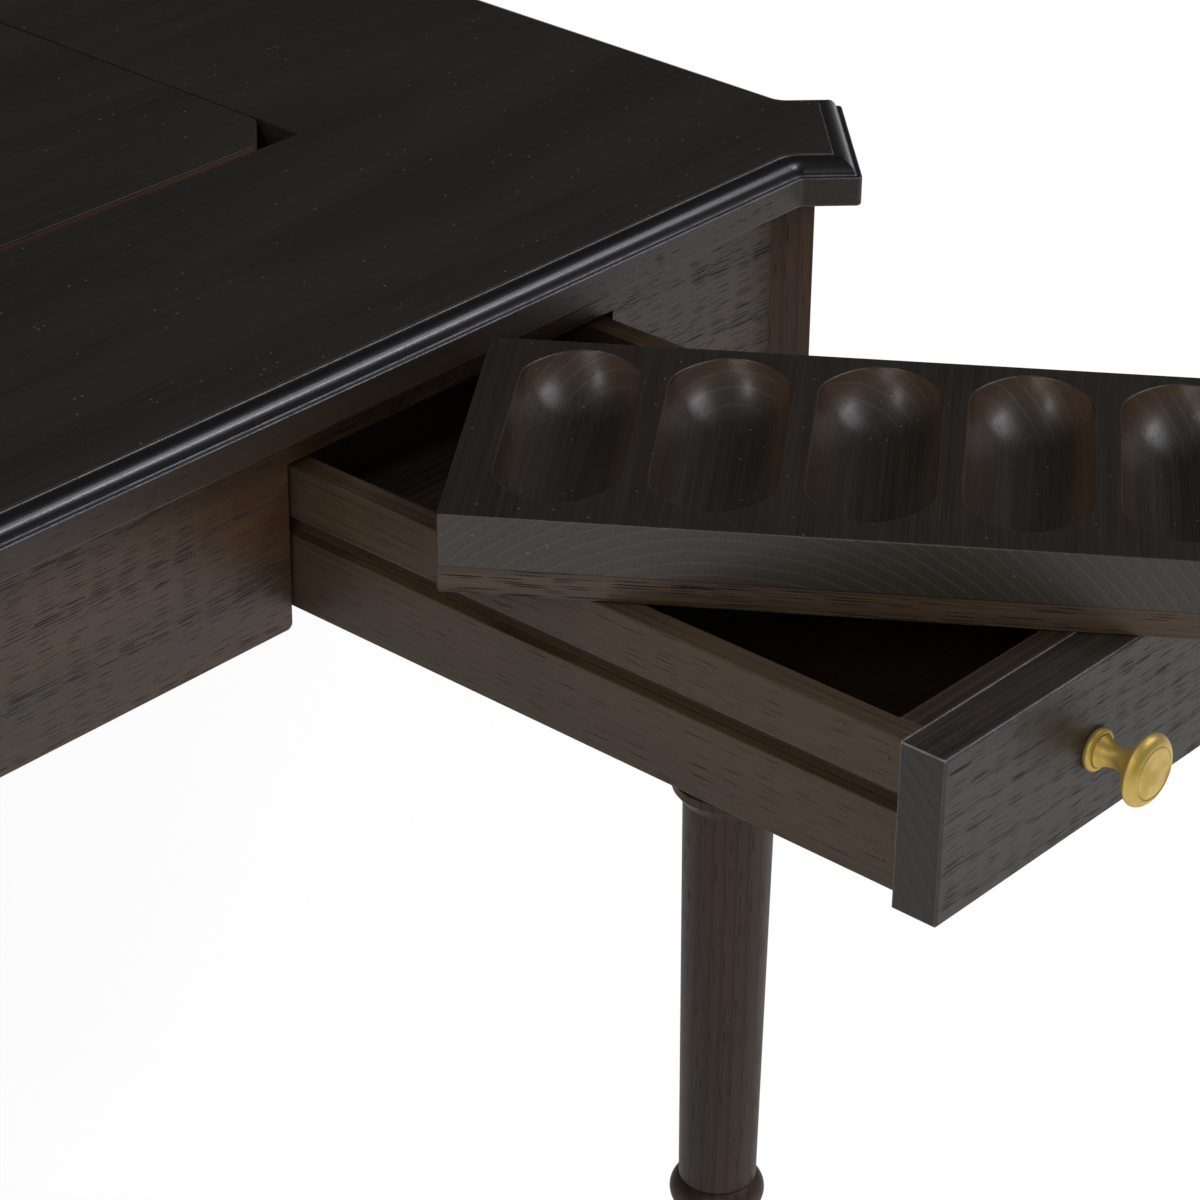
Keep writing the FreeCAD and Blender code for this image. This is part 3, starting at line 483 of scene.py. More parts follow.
def woodMaterial(name, look, turn, pith, seam=None):
    look = {**plainLook, "endShade": look["light"], **look}
    material, tree = newMaterial(name)
    place, normal = coordinate(tree, "Object"), coordinate(tree, "Normal")
    shift = -(Euler(turn).to_matrix() @ Vector(pith))
    inputs = {"Vector": place, "Rotation": turn, "Location": shift}
    given = {"place": addNode(tree, "Mapping", inputs).outputs[0]}
    given.update({key: look[key] for key in grainSizes})
    rings, pores, fibre, cloud = addNode(tree, "Group", given, node_tree=woodGrain).outputs
    grainWay = Euler(turn).to_matrix().transposed() @ Vector((1, 0, 0))
    facing = doMath(tree, "ABSOLUTE", dotProduct(tree, normal, grainWay))
    endGrain = mapRange(tree, facing, look["endFrom"], 0.9)
    # Each layer is a mask and the shade that it lets through, from the ground up.
    layers = [
        ("light", mapRange(tree, cloud, 0.32, 0.68)),
        ("fibreShade", mapRange(tree, fibre, 0.38, 0.66, 0.0, look["fibre"], smooth=False)),
        ("endShade", multiply(tree, endGrain, look["endMix"])),
    ]
    if look["slopeMix"]:
        lean = doMath(tree, "ABSOLUTE", split(tree, normal)[2])
        layers.append(("slopeShade", multiply(
            tree, mapRange(tree, lean, 0.08, 0.3), mapRange(tree, lean, 0.85, 0.5),
            mapRange(tree, cloud, 0.3, 0.6, 0.2, look["slopeMix"]),
        )))
    endRingMix = look.get("endRingMix", look["ringMix"])
    ringMix = mapRange(tree, endGrain, 0.0, 1.0, look["ringMix"], endRingMix)
    layers.append(("ringShade", multiply(tree, rings, ringMix)))
    layers.append(("poreShade", multiply(tree, pores, look["poreMix"])))
    if look["specks"]:
        away, chance = scatter(tree, place, 230.0)
        chosen = mapRange(tree, chance, 0.86, 0.9, smooth=False)
        speck = multiply(tree, mapRange(tree, away, 0.16, 0.09), chosen, look["specks"])
        layers.append(("speckShade", speck))
    # Lighter arrises: part wear, part painted highlight
    if look["rub"]:
        inputs = {"radius": look["rubAndHighlightRadius"], "strength": look["rub"]}
        wornAndLit = addNode(tree, "Group", inputs, node_tree=rubbedEdgeAndHighlight).outputs[0]
        layers.append(("rubShade", wornAndLit))
    if seam:
        away = doMath(tree, "ABSOLUTE", doMath(tree, "SUBTRACT", split(tree, place)[2], seam))
        layers.append(("seamShade", mapRange(tree, away, 0.0002, 0.0005, 0.75, 0.0)))
    colour = look["dark"]
    for shade, mask in layers:
        colour = mixColour(tree, mask, colour, look[shade])
    base = look["roughness"]
    rough = mapRange(tree, fibre, 0.3, 0.7, base - 0.05, base + 0.06, smooth=False)
    rough = doMath(tree, "ADD", rough, multiply(tree, pores, look["poreRough"]), clamp=True)
    height = multiply(tree, pores, look["poreLift"])
    height = doMath(tree, "ADD", height, multiply(tree, fibre, look["fibreLift"]))
    height = doMath(tree, "ADD", height, multiply(tree, rings, look["ringLift"]))
    endSurface(tree, {
        "Base Color": colour,
        "Roughness": rough,
        "Normal": bumped(tree, height, look["bump"], 0.00025),
        "Specular IOR Level": look["specular"],
        "Coat Weight": look["coat"],
        "Coat Roughness": look["coatRoughness"],
    })
    return material


# Finishes
# Each look's lighter arris shade is part wear, part painted highlight; the bluish white ones of the edge
# and the drawer face are painted highlights.
topLook = {
    "dark": (30, 29, 25), "light": (41, 39, 34), "fibreShade": (51, 47, 41),
    "ringShade": (48, 44, 38), "ringMix": 0.25, "ringGap": 0.0065, "ringWander": 0.006,
    "poreShade": (14, 14, 13), "poreLength": 0.020, "poreCover": 0.42, "specks": 0.8,
    "speckShade": (112, 104, 90), "rub": 0.35, "rubShade": (70, 68, 66), "specular": 0.4,
}
panelLook = {**topLook, "dark": (30, 28, 24), "light": (43, 39, 33)}
panelSideLook = {
    **topLook, "dark": (84, 58, 50), "light": (104, 74, 62), "fibreShade": (118, 86, 72),
    "poreShade": (60, 36, 28), "poreMix": 0.4, "rub": 0.0, "specks": 0.0,
}
edgeLook = {
    "dark": (13, 13, 14), "light": (18, 18, 19), "fibreShade": (24, 23, 23), "fibre": 0.3,
    "ringShade": (22, 21, 20), "poreShade": (9, 9, 9), "poreWidth": 0.0006, "poreCover": 0.25,
    "roughness": 0.36, "bump": 0.12, "coat": 0.6, "coatRoughness": 0.2, "rub": 1.0,
    # Painted highlight: a bluish white line along the moulding's arrises
    "rubShade": (190, 190, 206),
}
bandLook = {
    "dark": (42, 34, 27), "light": (58, 47, 38), "fibreShade": (66, 54, 44),
    "ringShade": (48, 40, 33), "ringMix": 0.2, "poreShade": (18, 15, 13), "poreMix": 0.5,
    "rub": 0.4, "rubShade": (98, 84, 70),
}
apronLook = {
    "dark": (30, 26, 21), "light": (80, 53, 28), "fibreShade": (88, 65, 41), "fibre": 0.6,
    "ringShade": (70, 50, 34), "ringMix": 0.35, "ringGap": 0.007, "ringWander": 0.007,
    "poreShade": (10, 9, 9), "poreMix": 0.8, "poreLength": 0.016, "poreWidth": 0.00048,
    "poreCover": 0.54, "specular": 0.6, "bump": 0.45, "rub": 0.4, "rubShade": (96, 80, 64),
    "endShade": (34, 29, 25), "endMix": 0.8, "endRingMix": 0.15,
}
faceLook = {
    **apronLook, "dark": (36, 32, 29), "light": (48, 41, 34), "fibreShade": (68, 58, 49),
    "ringShade": (62, 52, 44), "poreShade": (13, 12, 12), "poreMix": 0.75, "poreLength": 0.014,
    "poreWidth": 0.00045, "roughness": 0.42, "specular": 0.52, "rub": 1.0,
    # Painted highlight: a bluish white line along the face's arrises
    "rubShade": (205, 205, 220), "endShade": (28, 23, 18), "endMix": 0.9,
}
drawerLook = {
    "dark": (47, 38, 27), "light": (65, 53, 38), "fibreShade": (82, 66, 47), "fibre": 0.6,
    "ringShade": (76, 58, 42), "ringGap": 0.004, "ringWander": 0.003, "poreShade": (26, 20, 16),
    "poreMix": 0.35, "poreLength": 0.018, "poreWidth": 0.0007, "roughness": 0.5, "rub": 0.6,
    "rubShade": (128, 104, 78), "endShade": (36, 28, 22), "endMix": 0.6, "specular": 0.4,
}
boxLook = {**drawerLook, "dark": (31, 24, 20), "light": (43, 33, 27), "fibreShade": (54, 42, 33)}
# Painted light: a lighter copy of the drawer wood for the groove's upward-facing ledge, as if lit from
# above
litGrooveLook = {
    **drawerLook, "dark": (52, 39, 26), "light": (76, 57, 37), "fibreShade": (98, 76, 50),
    "ringShade": (50, 36, 24), "poreShade": (32, 24, 16), "roughness": 0.6, "rub": 0.0,
}
legLook = {
    "dark": (48, 40, 33), "light": (80, 59, 44), "fibreShade": (82, 65, 51),
    "ringShade": (28, 24, 21), "ringMix": 0.5, "ringGap": 0.0065, "poreShade": (22, 18, 16),
    "poreMix": 0.35, "poreLength": 0.018, "roughness": 0.5, "bump": 0.22, "specular": 0.3,
    "rub": 0.3, "rubShade": (84, 72, 60),
}
trayLook = {
    "dark": (24, 22, 18), "light": (36, 30, 24), "fibreShade": (54, 42, 30), "fibre": 0.4,
    "ringShade": (92, 84, 76), "ringMix": 0.05, "endRingMix": 0.30, "ringStart": 0.72,
    "ringGap": 0.0052, "ringWander": 0.0022, "endShade": (54, 49, 43), "endMix": 0.9,
    "endFrom": 0.15, "slopeShade": (76, 54, 36), "slopeMix": 0.8, "coat": 0.4,
    "poreShade": (14, 13, 12), "poreMix": 0.5, "poreLength": 0.014, "poreWidth": 0.0007,
    "specks": 0.7, "speckShade": (104, 98, 88), "roughness": 0.47, "bump": 0.25, "rub": 0.3,
    "rubShade": (84, 74, 62), "specular": 0.4,
}
trayBaseLook = {
    "dark": (54, 43, 33), "light": (78, 61, 45), "fibreShade": (98, 78, 58), "fibre": 0.5,
    "ringShade": (50, 38, 27), "ringMix": 0.35, "ringGap": 0.006, "ringWander": 0.005,
    "poreShade": (22, 18, 15), "poreMix": 0.9, "poreLength": 0.022, "poreCover": 0.62,
    "roughness": 0.48, "bump": 0.4, "rub": 0.3, "rubShade": (104, 84, 64),
}
innerLook = {
    "dark": (70, 56, 42), "light": (94, 76, 58), "fibreShade": (112, 92, 70), "fibre": 0.4,
    "ringShade": (66, 50, 36), "ringMix": 0.4, "ringGap": 0.0045, "poreShade": (40, 31, 24),
    "poreWidth": 0.0006, "roughness": 0.62, "bump": 0.35,
}
runnerLook = {
    **innerLook, "dark": (150, 118, 80), "light": (176, 142, 98), "fibreShade": (188, 156, 112),
    "ringShade": (132, 100, 66), "poreShade": (96, 70, 46), "roughness": 0.5,
}
# The woods of each side: look, the board that the heart is near and how far off it is, and
# whether the grain runs along the side
boardHeart = ("drawer_left_side", (0.03, 0.03, -0.16))
sideWoods = {
    "Apron": (apronLook, "apron", (0.31, 0.31, -0.10), True),
    "Face": (faceLook, "drawer_face", (0.06, 0.09, -0.07), True),
    "Drawer": (drawerLook, *boardHeart, False),
    "Groove": (litGrooveLook, *boardHeart, False),
    "DrawerEnd": (boxLook, *boardHeart, True),
    "Guide": (innerLook, *boardHeart, False),
}

cornerBase = Vector((0.0605, -0.5894, 0)) + middle
trayTurn = math.radians(-54.8)
trayAlong = Vector((math.cos(trayTurn), math.sin(trayTurn), 0))
trayFoot, traySeam = [end.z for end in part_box("chip_tray_base")]
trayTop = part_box("chip_tray_block")[1].z

topHeart = (0, middle.y - 0.62, topLevel - 0.09)
topWoods = [
    woodMaterial("topWood", topLook, alongX, topHeart),
    woodMaterial("edgeWood", edgeLook, alongX, topHeart),
    woodMaterial("bandWood", bandLook, alongX, topHeart),
]
panelHeart = (0, middle.y + 0.05, topLevel - 0.12)
panelWoods = [
    woodMaterial("panelWood", panelLook, alongX, panelHeart),
    woodMaterial("panelSideWood", panelSideLook, alongX, panelHeart),
]
woods = {}
for quarter, side in enumerate(sides):
    for kind, (look, board, offset, isAlong) in sideWoods.items():
        turn = alongX if isAlong == (quarter % 2 == 0) else alongY
        heart = centreOf(f"{side}_{board}") + Vector(offset)
        woods[side + kind] = woodMaterial(f"{side}{kind}Wood", look, turn, heart)
for quarter, corner in enumerate(corners):
    x, y = quarterTurn(legAxis, -legAxis, quarter)
    heart = Vector((x, y, 0)) + middle + Vector((0.006 * (-1) ** quarter - 0.062, 0.030, 0))
    woods[corner] = woodMaterial(f"{corner}LegWood", legLook, alongZ, heart)
wellWood = woodMaterial("wellWood", innerLook, alongX, (0.05, middle.y, underside - 0.2))
runnerWood = woodMaterial("runnerWood", runnerLook, alongX, (0.05, middle.y, underside - 0.3))
blockHeart = cornerBase + trayAlong * 0.118 + Vector((0, 0, trayTop - 0.150))
blockWood = woodMaterial(
    "trayBlockWood", trayLook, (0, 0, -trayTurn - math.pi / 2), blockHeart, traySeam
)
baseHeart = cornerBase + Vector((0.05, 0.12, traySeam + 0.10))
baseWood = woodMaterial("trayBaseWood", trayBaseLook, (0, 0, -trayTurn), baseHeart, traySeam)


def makeBrass():
    # Aged brass: brighter where the turning is proud, browner in its hollows.
    look = {
        "bright": (226, 198, 114), "mellow": (208, 178, 90), "brown": (112, 88, 42),
        "roughness": 0.42, "metallic": 0.65,
    }
    material, tree = newMaterial("antiqueBrass")
    place = coordinate(tree, "Object")
    stain = noise(tree, place, 95.0, 4.0, 0.6)
    fine = noise(tree, place, 900.0, 3.0, 0.6)
    proud = addNode(tree, "NewGeometry").outputs["Pointiness"]
    colour = mixColour(tree, mapRange(tree, stain, 0.35, 0.68), look["bright"], look["mellow"])
    recess = mapRange(tree, proud, 0.497, 0.44, 0.0, 0.85)
    endSurface(tree, {
        "Base Color": mixColour(tree, recess, colour, look["brown"]),
        "Metallic": look["metallic"],
        "Roughness": mapRange(tree, stain, 0.3, 0.7, look["roughness"] - 0.04, look["roughness"] + 0.10),
        "Normal": bumped(tree, fine, 0.12, 0.0002),
    })
    return material


def makeZinc():
    # Zinc plate with its mottled grain and scuffs
    look = {"dull": (168, 170, 172), "pale": (196, 197, 196), "spangles": 380.0}
    material, tree = newMaterial("zincPlate")
    place = coordinate(tree, "Object")
    _, tone = scatter(tree, place, look["spangles"])
    scuff = noise(tree, place, 420.0, 3.0)
    endSurface(tree, {
        "Base Color": mixColour(tree, tone, look["dull"], look["pale"]),
        "Metallic": 1.0,
        "Roughness": mapRange(tree, scuff, 0.3, 0.7, 0.28, 0.46),
        "Normal": bumped(tree, scuff, 0.2, 0.0002),
    })
    return material


def makeNylon():
    look = {"black": (28, 28, 29), "scuffed": (62, 62, 62), "roughness": 0.55}
    material, tree = newMaterial("blackNylon")
    place = coordinate(tree, "Object")
    scuffs = noise(tree, stretched(tree, place, (90.0, 500.0, 90.0)), detail=3.0)
    scuffs = mapRange(tree, scuffs, 0.55, 0.75)
    endSurface(tree, {
        "Base Color": mixColour(tree, scuffs, look["black"], look["scuffed"]),
        "Roughness": look["roughness"],
        "Normal": bumped(tree, noise(tree, place, 1500.0, 3.0), 0.3, 0.0001),
    })
    return material


def makePinFiller():
    # Dark filler over sunk pins
    look = {"dark": (18, 15, 13), "light": (34, 28, 23), "roughness": 0.7}
    material, tree = newMaterial("pinFiller")
    shade = mapRange(tree, noise(tree, coordinate(tree, "Object"), 900.0), 0.3, 0.7)
    colour = mixColour(tree, shade, look["dark"], look["light"])
    endSurface(tree, {"Base Color": colour, "Roughness": look["roughness"]})
    return material


brass = makeBrass()
zinc = makeZinc()
nylon = makeNylon()
pinFiller = makePinFiller()
print("finishes made")


# Top with its moulded edge

def makeTop():
    size = {
        "inset": 0.0135, "quirkDrop": 0.0012, "quirkLedge": 0.0010, "ovoloDrop": 0.0060,
        "beadLedge": 0.0030, "ledgeDrop": 0.0008, "footRound": 0.0015, "ovoloShare": 0.75,
        "arris": 0.00045, "openingArris": 0.0007, "openingRound": 0.0015, "flat": 0.0160,
    }
    quirk = topLevel - size["quirkDrop"]
    ovoloStart = size["inset"] - size["quirkLedge"]
    ovoloFoot = quirk - size["ovoloDrop"]
    ovoloRun = ovoloStart - size["beadLedge"]
    ledge = ovoloFoot - size["ledgeDrop"]
    radius = math.hypot(ovoloRun, size["ovoloDrop"]) * size["ovoloShare"]
    foot = size["footRound"]
    section = tracePath([
        (size["flat"], underside),
        (foot, underside, foot, -1),
        (0, underside + foot),
        (0, ledge),
        (size["beadLedge"], ledge),
        (size["beadLedge"], ovoloFoot, radius, -1),
        (ovoloStart, quirk),
        (size["inset"], quirk),
        (size["inset"], topLevel),
        (size["flat"], topLevel),
    ], detail=0.1)
    section = softened(section, size["arris"], least=0.6, pieces=4)
    bm = bmesh.new()
    rings = [addRing(bm, earedLoop(inset), level) for inset, level in section]
    kinds = []
    for (inset, level), (nextInset, nextLevel) in zip(section, section[1:]):
        isBand = max(level, nextLevel) <= ledge - size["arris"]
        isEdge = min(inset, nextInset) < size["inset"] - 1e-6
        kinds.append(2 if isBand else 1 if isEdge else 0)
    bridge(bm, rings, kinds)
    half, ease = shared["openingHalf"], size["openingArris"]
    squares = []
    for grow, level in (
        (ease, underside), (0, underside + ease), (0, topLevel - ease),
        (ease * 0.3, topLevel - ease * 0.3), (ease, topLevel),
    ):
        loop = roundedLoop(half + grow, half + grow, 0, size["openingRound"], 4)
        squares.append(addRing(bm, loop, level))
    bridge(bm, squares)
    fillRings(bm, [rings[-1], squares[-1]])
    fillRings(bm, [rings[0], squares[0]])
    mesh = newMesh("top", bm, Matrix.Translation(middle), sharp=50)
    addPiece("topFrame", mesh, topWoods, "tabletop")


def makePanel():
    size = {
        "gap": 0.003, "clip": 0.023, "tip": 0.008, "arris": 0.0010, "rest": 0.0003,
        "shift": 0.0018,
    }
    half = shared["openingHalf"] - size["gap"]
    foot, ease = underside + size["rest"], size["arris"]
    levels = [
        (ease, foot), (0.25 * ease, foot + 0.25 * ease), (0, foot + ease),
        (0, topLevel - ease), (0.1 * ease, topLevel - 0.55 * ease),
        (0.35 * ease, topLevel - 0.2 * ease), (ease, topLevel),
    ]
    bm = bmesh.new()
    rings = []
    for inset, level in levels:
        clip = size["clip"] - inset * (2 - rootTwo)
        loop = roundedLoop(half - inset, half - inset, clip, size["tip"] - inset, 8)
        rings.append(addRing(bm, loop, level))
    bridge(bm, rings, [1 if level < topLevel - 0.6 * ease else 0 for _, level in levels[1:]])
    bm.faces.new(rings[-1])
    bm.faces.new(list(reversed(rings[0])))
    shift = Vector((size["shift"], size["shift"], 0))
    mesh = newMesh("panel", bm, Matrix.Translation(middle + shift), sharp=60)
    addPiece("gamePanel", mesh, panelWoods, "game_panel")


makeTop()
makePanel()
print("top and panel made")


# Legs

def legProfile():
    size = {
        "neck": 0.019, "neckHeight": 0.002, "ringRadius": 0.0268, "ringHeight": 0.012,
        "ringShare": 0.85, "cove": 0.0076, "vaseRadius": 0.0285, "vaseShoulder": 0.038,
        "waist": 0.0205, "collarRadius": 0.031, "collarCove": 0.012, "collarBand": 0.005,
        "collarFlare": 0.008, "columnTop": 0.375, "columnTopRadius": 0.025,
        "columnFootRadius": 0.022, "ankleRadius": 0.027, "ankleRing": 0.021,
        "ankleHeight": 0.102, "footNeck": 0.018, "footNeckHeight": 0.004,
        "footRadius": 0.023, "footShoulder": 0.026, "toeRadius": 0.014, "glide": 0.004,
        "arris": 0.0006,
    }
    postFoot = underside - shared["postHeight"]
    ringHalf = size["ringHeight"] / 2
    ringRun = ringHalf * size["ringShare"]
    ringBase = size["ringRadius"] - ringRun
    ringTop = postFoot - size["cove"] - size["neckHeight"]
    ringFoot = ringTop - size["ringHeight"]
    vaseTop = ringFoot - size["neckHeight"]
    vaseWide = vaseTop - size["vaseShoulder"]
    collarFoot = size["columnTop"] + size["collarFlare"]
    collarTop = collarFoot + size["collarBand"]
    waistLevel = collarTop + size["collarCove"]
    ankleTop = size["ankleHeight"] + size["ankleRing"]
    ankleBase = size["footNeck"] + size["footNeckHeight"] / 2
    footNeckLevel = size["ankleHeight"] - size["footNeckHeight"]
    footWide = footNeckLevel - size["footShoulder"]
    steps = [
        (0, size["glide"]),
        (size["toeRadius"], size["glide"], None, 1),
        (size["footRadius"], footWide, None, 1),
        (size["footNeck"], footNeckLevel),
        (size["footNeck"], size["ankleHeight"]),
        (ankleBase, size["ankleHeight"],
         bulge(size["ankleRadius"] - ankleBase, size["ankleRing"] / 2), 1),
        (ankleBase, ankleTop),
        (size["columnFootRadius"], ankleTop),
        (size["columnTopRadius"], size["columnTop"]),
        (size["collarRadius"], collarFoot),
        (size["collarRadius"], collarTop, None, -1),
        (size["waist"], waistLevel, None, 1),
        (size["vaseRadius"], vaseWide, None, 1),
        (size["neck"], vaseTop),
        (size["neck"], ringFoot),
        (ringBase, ringFoot, bulge(ringRun, ringHalf), 1),
        (ringBase, ringTop),
        (size["neck"], ringTop),
        (size["neck"], postFoot - size["cove"], size["cove"], -1),
        (size["neck"] + size["cove"], postFoot),
    ]
    return softened(tracePath(steps, detail=0.1), size["arris"], least=0.5), postFoot


def makeLegs():
    profile, postFoot = legProfile()
    size = {"arris": 0.0011, "footArris": 0.0006, "softArris": 0.0007, "segments": 80}
    half, chamfer, arris = shared["postHalf"], shared["postChamfer"], size["arris"]
    # Half width, level and arris of the post's rings, round the foot's chamfer and up
    levels = [
        (half - chamfer, postFoot, size["footArris"]),
        (half - chamfer * 0.93, postFoot + chamfer / 30, size["softArris"]),
        (half - chamfer * 0.1, postFoot + chamfer * 0.9, arris),
        (half, postFoot + chamfer * 1.15, arris),
        (half, underside, arris),
    ]
    for quarter, corner in enumerate(corners):
        bm = bmesh.new()
        rim = turnProfile(bm, profile, size["segments"])
        squares = [addRing(bm, roundedLoop(w, w, 0, r, 4), z) for w, z, r in levels]
        bridge(bm, squares)
        fillRings(bm, [rim, squares[0]])
        bm.faces.new(squares[-1])
        x, y = quarterTurn(legAxis, -legAxis, quarter)
        turn = Matrix.Rotation(math.radians(90 * quarter - 45), 4, "Z")
        place = Matrix.Translation(middle + Vector((x, y, 0))) @ turn
        mesh = newMesh(f"{corner}LegTurning", bm, place)
        addPiece(f"{corner}Leg", mesh, [woods[corner]], f"{corner}_leg")


def makeKnobs():
    size = {
        "reach": 0.0295, "radius": 0.016, "rimHeight": 0.0096, "face": 0.0114, "neck": 0.0046,
        "base": 0.0099, "baseHeight": 0.0034, "groove": 0.0005, "shoulder": 0.0072,
        "arris": 0.0003, "segments": 96,
    }
    share = {
        "flangeFlat": 0.5, "flangeEdge": 1.25, "flangeTop": 0.8, "hollowRun": 0.55,
        "hollowRise": 0.7, "rimRun": 0.8, "rimEdge": 0.75, "rimBack": 1.1, "rimFront": 1.15,
    }
    reach, groove, face = size["reach"], size["groove"], size["face"]
    flangeHalf = size["baseHeight"] / 2
    flangeEdge = size["base"] - flangeHalf * share["flangeFlat"]
    rimHalf = size["rimHeight"] / 2
    rimMid = reach - rimHalf
    neckLevel = (reach - size["rimHeight"] + size["baseHeight"]) / 2
    hollowRun = (size["radius"] - size["neck"]) * share["hollowRun"]
    hollowRise = (rimMid - neckLevel) * share["hollowRise"]
    profile = tracePath([
        (0, 0),
        (flangeEdge, 0, flangeHalf * share["flangeEdge"], 1),
        (flangeEdge, size["baseHeight"] * share["flangeTop"], size["base"] - size["shoulder"], 1),
        (size["shoulder"] + groove, size["baseHeight"]),
        (size["shoulder"], size["baseHeight"] - groove),
        (size["shoulder"], size["baseHeight"] + groove, None, -1),
        (size["neck"], neckLevel, bulge(hollowRun, hollowRise), -1),
        (size["radius"] - rimHalf * share["rimRun"], rimMid - rimHalf * share["rimEdge"],
         rimHalf * share["rimBack"], 1),
        (size["radius"], rimMid, rimHalf * share["rimFront"], 1),
        (face + groove, reach - groove),
        (face, reach - 2 * groove),
        (face - groove, reach - groove),
        (0, reach),
    ], detail=0.09)
    profile = softened(profile, size["arris"], least=0.35)
    stand = Matrix.Rotation(math.pi / 2, 4, "X")
    for quarter, side in enumerate(sides):
        outward = Vector((*quarterTurn(0, -1, quarter), 0))
        base = centreOf(f"{side}_drawer_knob") - outward * (reach / 2)
        bm = bmesh.new()
        turnProfile(bm, profile, size["segments"])
        place = Matrix.Translation(base) @ Matrix.Rotation(math.pi / 2 * quarter, 4, "Z") @ stand
        mesh = newMesh(f"{side}KnobTurning", bm, place)
        addPiece(f"{side}Knob", mesh, [brass], f"{side}_drawer_knob")


makeLegs()
makeKnobs()
print("legs and knobs made")


# Drawer sides: grooved boards with their pins

def sideOutline(size, thick, tall):
    # Section of a side board: the groove is outside, the bottom's housing inside.
    edge, floor, roof = thick / 2, -tall / 2, tall / 2
    grooveTop = roof - size["grooveDrop"]
    grooveFoot = grooveTop - size["grooveHeight"]
    housed, grooved = edge - size["housingDepth"], size["grooveDepth"] - edge
    low, high = floor + size["housingLow"], floor + size["housingHigh"]
    outline = [
        (-edge, floor), (edge, floor), (edge, low), (housed, low), (housed, high), (edge, high),
        (edge, roof), (-edge, roof), (-edge, grooveTop), (grooved, grooveTop),
        (grooved, grooveFoot), (-edge, grooveFoot),
    ]
    return softened([Vector(p) for p in outline], size["arris"], closed=True), grooveFoot


def makeSideBoard(size, name, node, place, long, thick, tall, materials):
    points, grooveFoot = sideOutline(size, thick, tall)
    end, ease = long / 2, size["endArris"]
    bm = bmesh.new()
    rings = []
    for along, drawn in (
        (-end, ease), (-end + ease * 0.3, ease * 0.3), (-end + ease, 0),
        (end - ease, 0), (end - ease * 0.3, ease * 0.3), (end, ease),
    ):
        loop = drawnIn(points, drawn) if drawn else points
        rings.append([bm.verts.new((p.x, along, p.y)) for p in loop])
    outside = -thick / 2
    for face in bridge(bm, rings):
        spot = face.calc_center_median()
        # Only the groove's upward-facing ledge takes the lighter copy of the drawer wood, which paints it
        # as lit
        onLitLedge = grooveFoot - 0.0002 < spot.z < grooveFoot + 0.0010
        if onLitLedge and outside + 0.0002 < spot.x < outside + size["grooveDepth"] + 0.0005:
            face.material_index = 1
    fillRings(bm, [rings[0]])
    fillRings(bm, [rings[-1]])
    addPiece(name, newMesh(f"{node}Board", bm, place, sharp=50), materials, node)


def makePins(size, name, node, place, long, thick, tall):
    # Filled pin marks near both ends of a side board
    bm = bmesh.new()
    turn = Matrix.Rotation(-math.pi / 2, 4, "Y")
    for end in (-1, 1):
        for drop in size["pinDrops"]:
            spot = (-thick / 2 - size["pinLift"], end * (long / 2 - size["pinSet"]), tall / 2 - drop)
            bmesh.ops.create_cone(
                bm, cap_ends=True, segments=16, radius1=size["pin"], radius2=size["pin"] * 0.8,
                depth=size["pinDepth"], matrix=Matrix.Translation(spot) @ turn,
            )
    addPiece(f"{name}Pins", newMesh(f"{node}Pins", bm, place), [pinFiller], node, "steel")


def makeDrawerSides():
    size = {
        "grooveDrop": 0.025, "grooveHeight": 0.0088, "grooveDepth": 0.0065,
        "housingLow": 0.0078, "housingHigh": 0.0142, "housingDepth": 0.0052, "arris": 0.0007,
        "endArris": 0.0005, "pin": 0.0007, "pinSet": 0.006, "pinDrops": (0.011, 0.058),
        "pinLift": 0.00002, "pinDepth": 0.00008,
    }
    for quarter, side in enumerate(sides):
        lengthwise = Vector((*quarterTurn(0, 1, quarter), 0))
        for hand, inward in (("left", 1), ("right", -1)):
            node = f"{side}_drawer_{hand}_side"
            low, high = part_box(node)
            whole = high - low
            across, long = sorted((whole.x, whole.y))
            inner = Vector((*quarterTurn(inward, 0, quarter), 0))
            place = axesAt((low + high) / 2, inner, lengthwise, Vector((0, 0, 1)))
            board = (f"{side}Drawer{hand.title()}Side", node, place, long, across, whole.z)
            makeSideBoard(size, *board, [woods[f"{side}Drawer"], woods[f"{side}Groove"]])
            makePins(size, *board)


makeDrawerSides()
print("drawer sides made")


# Chip tray

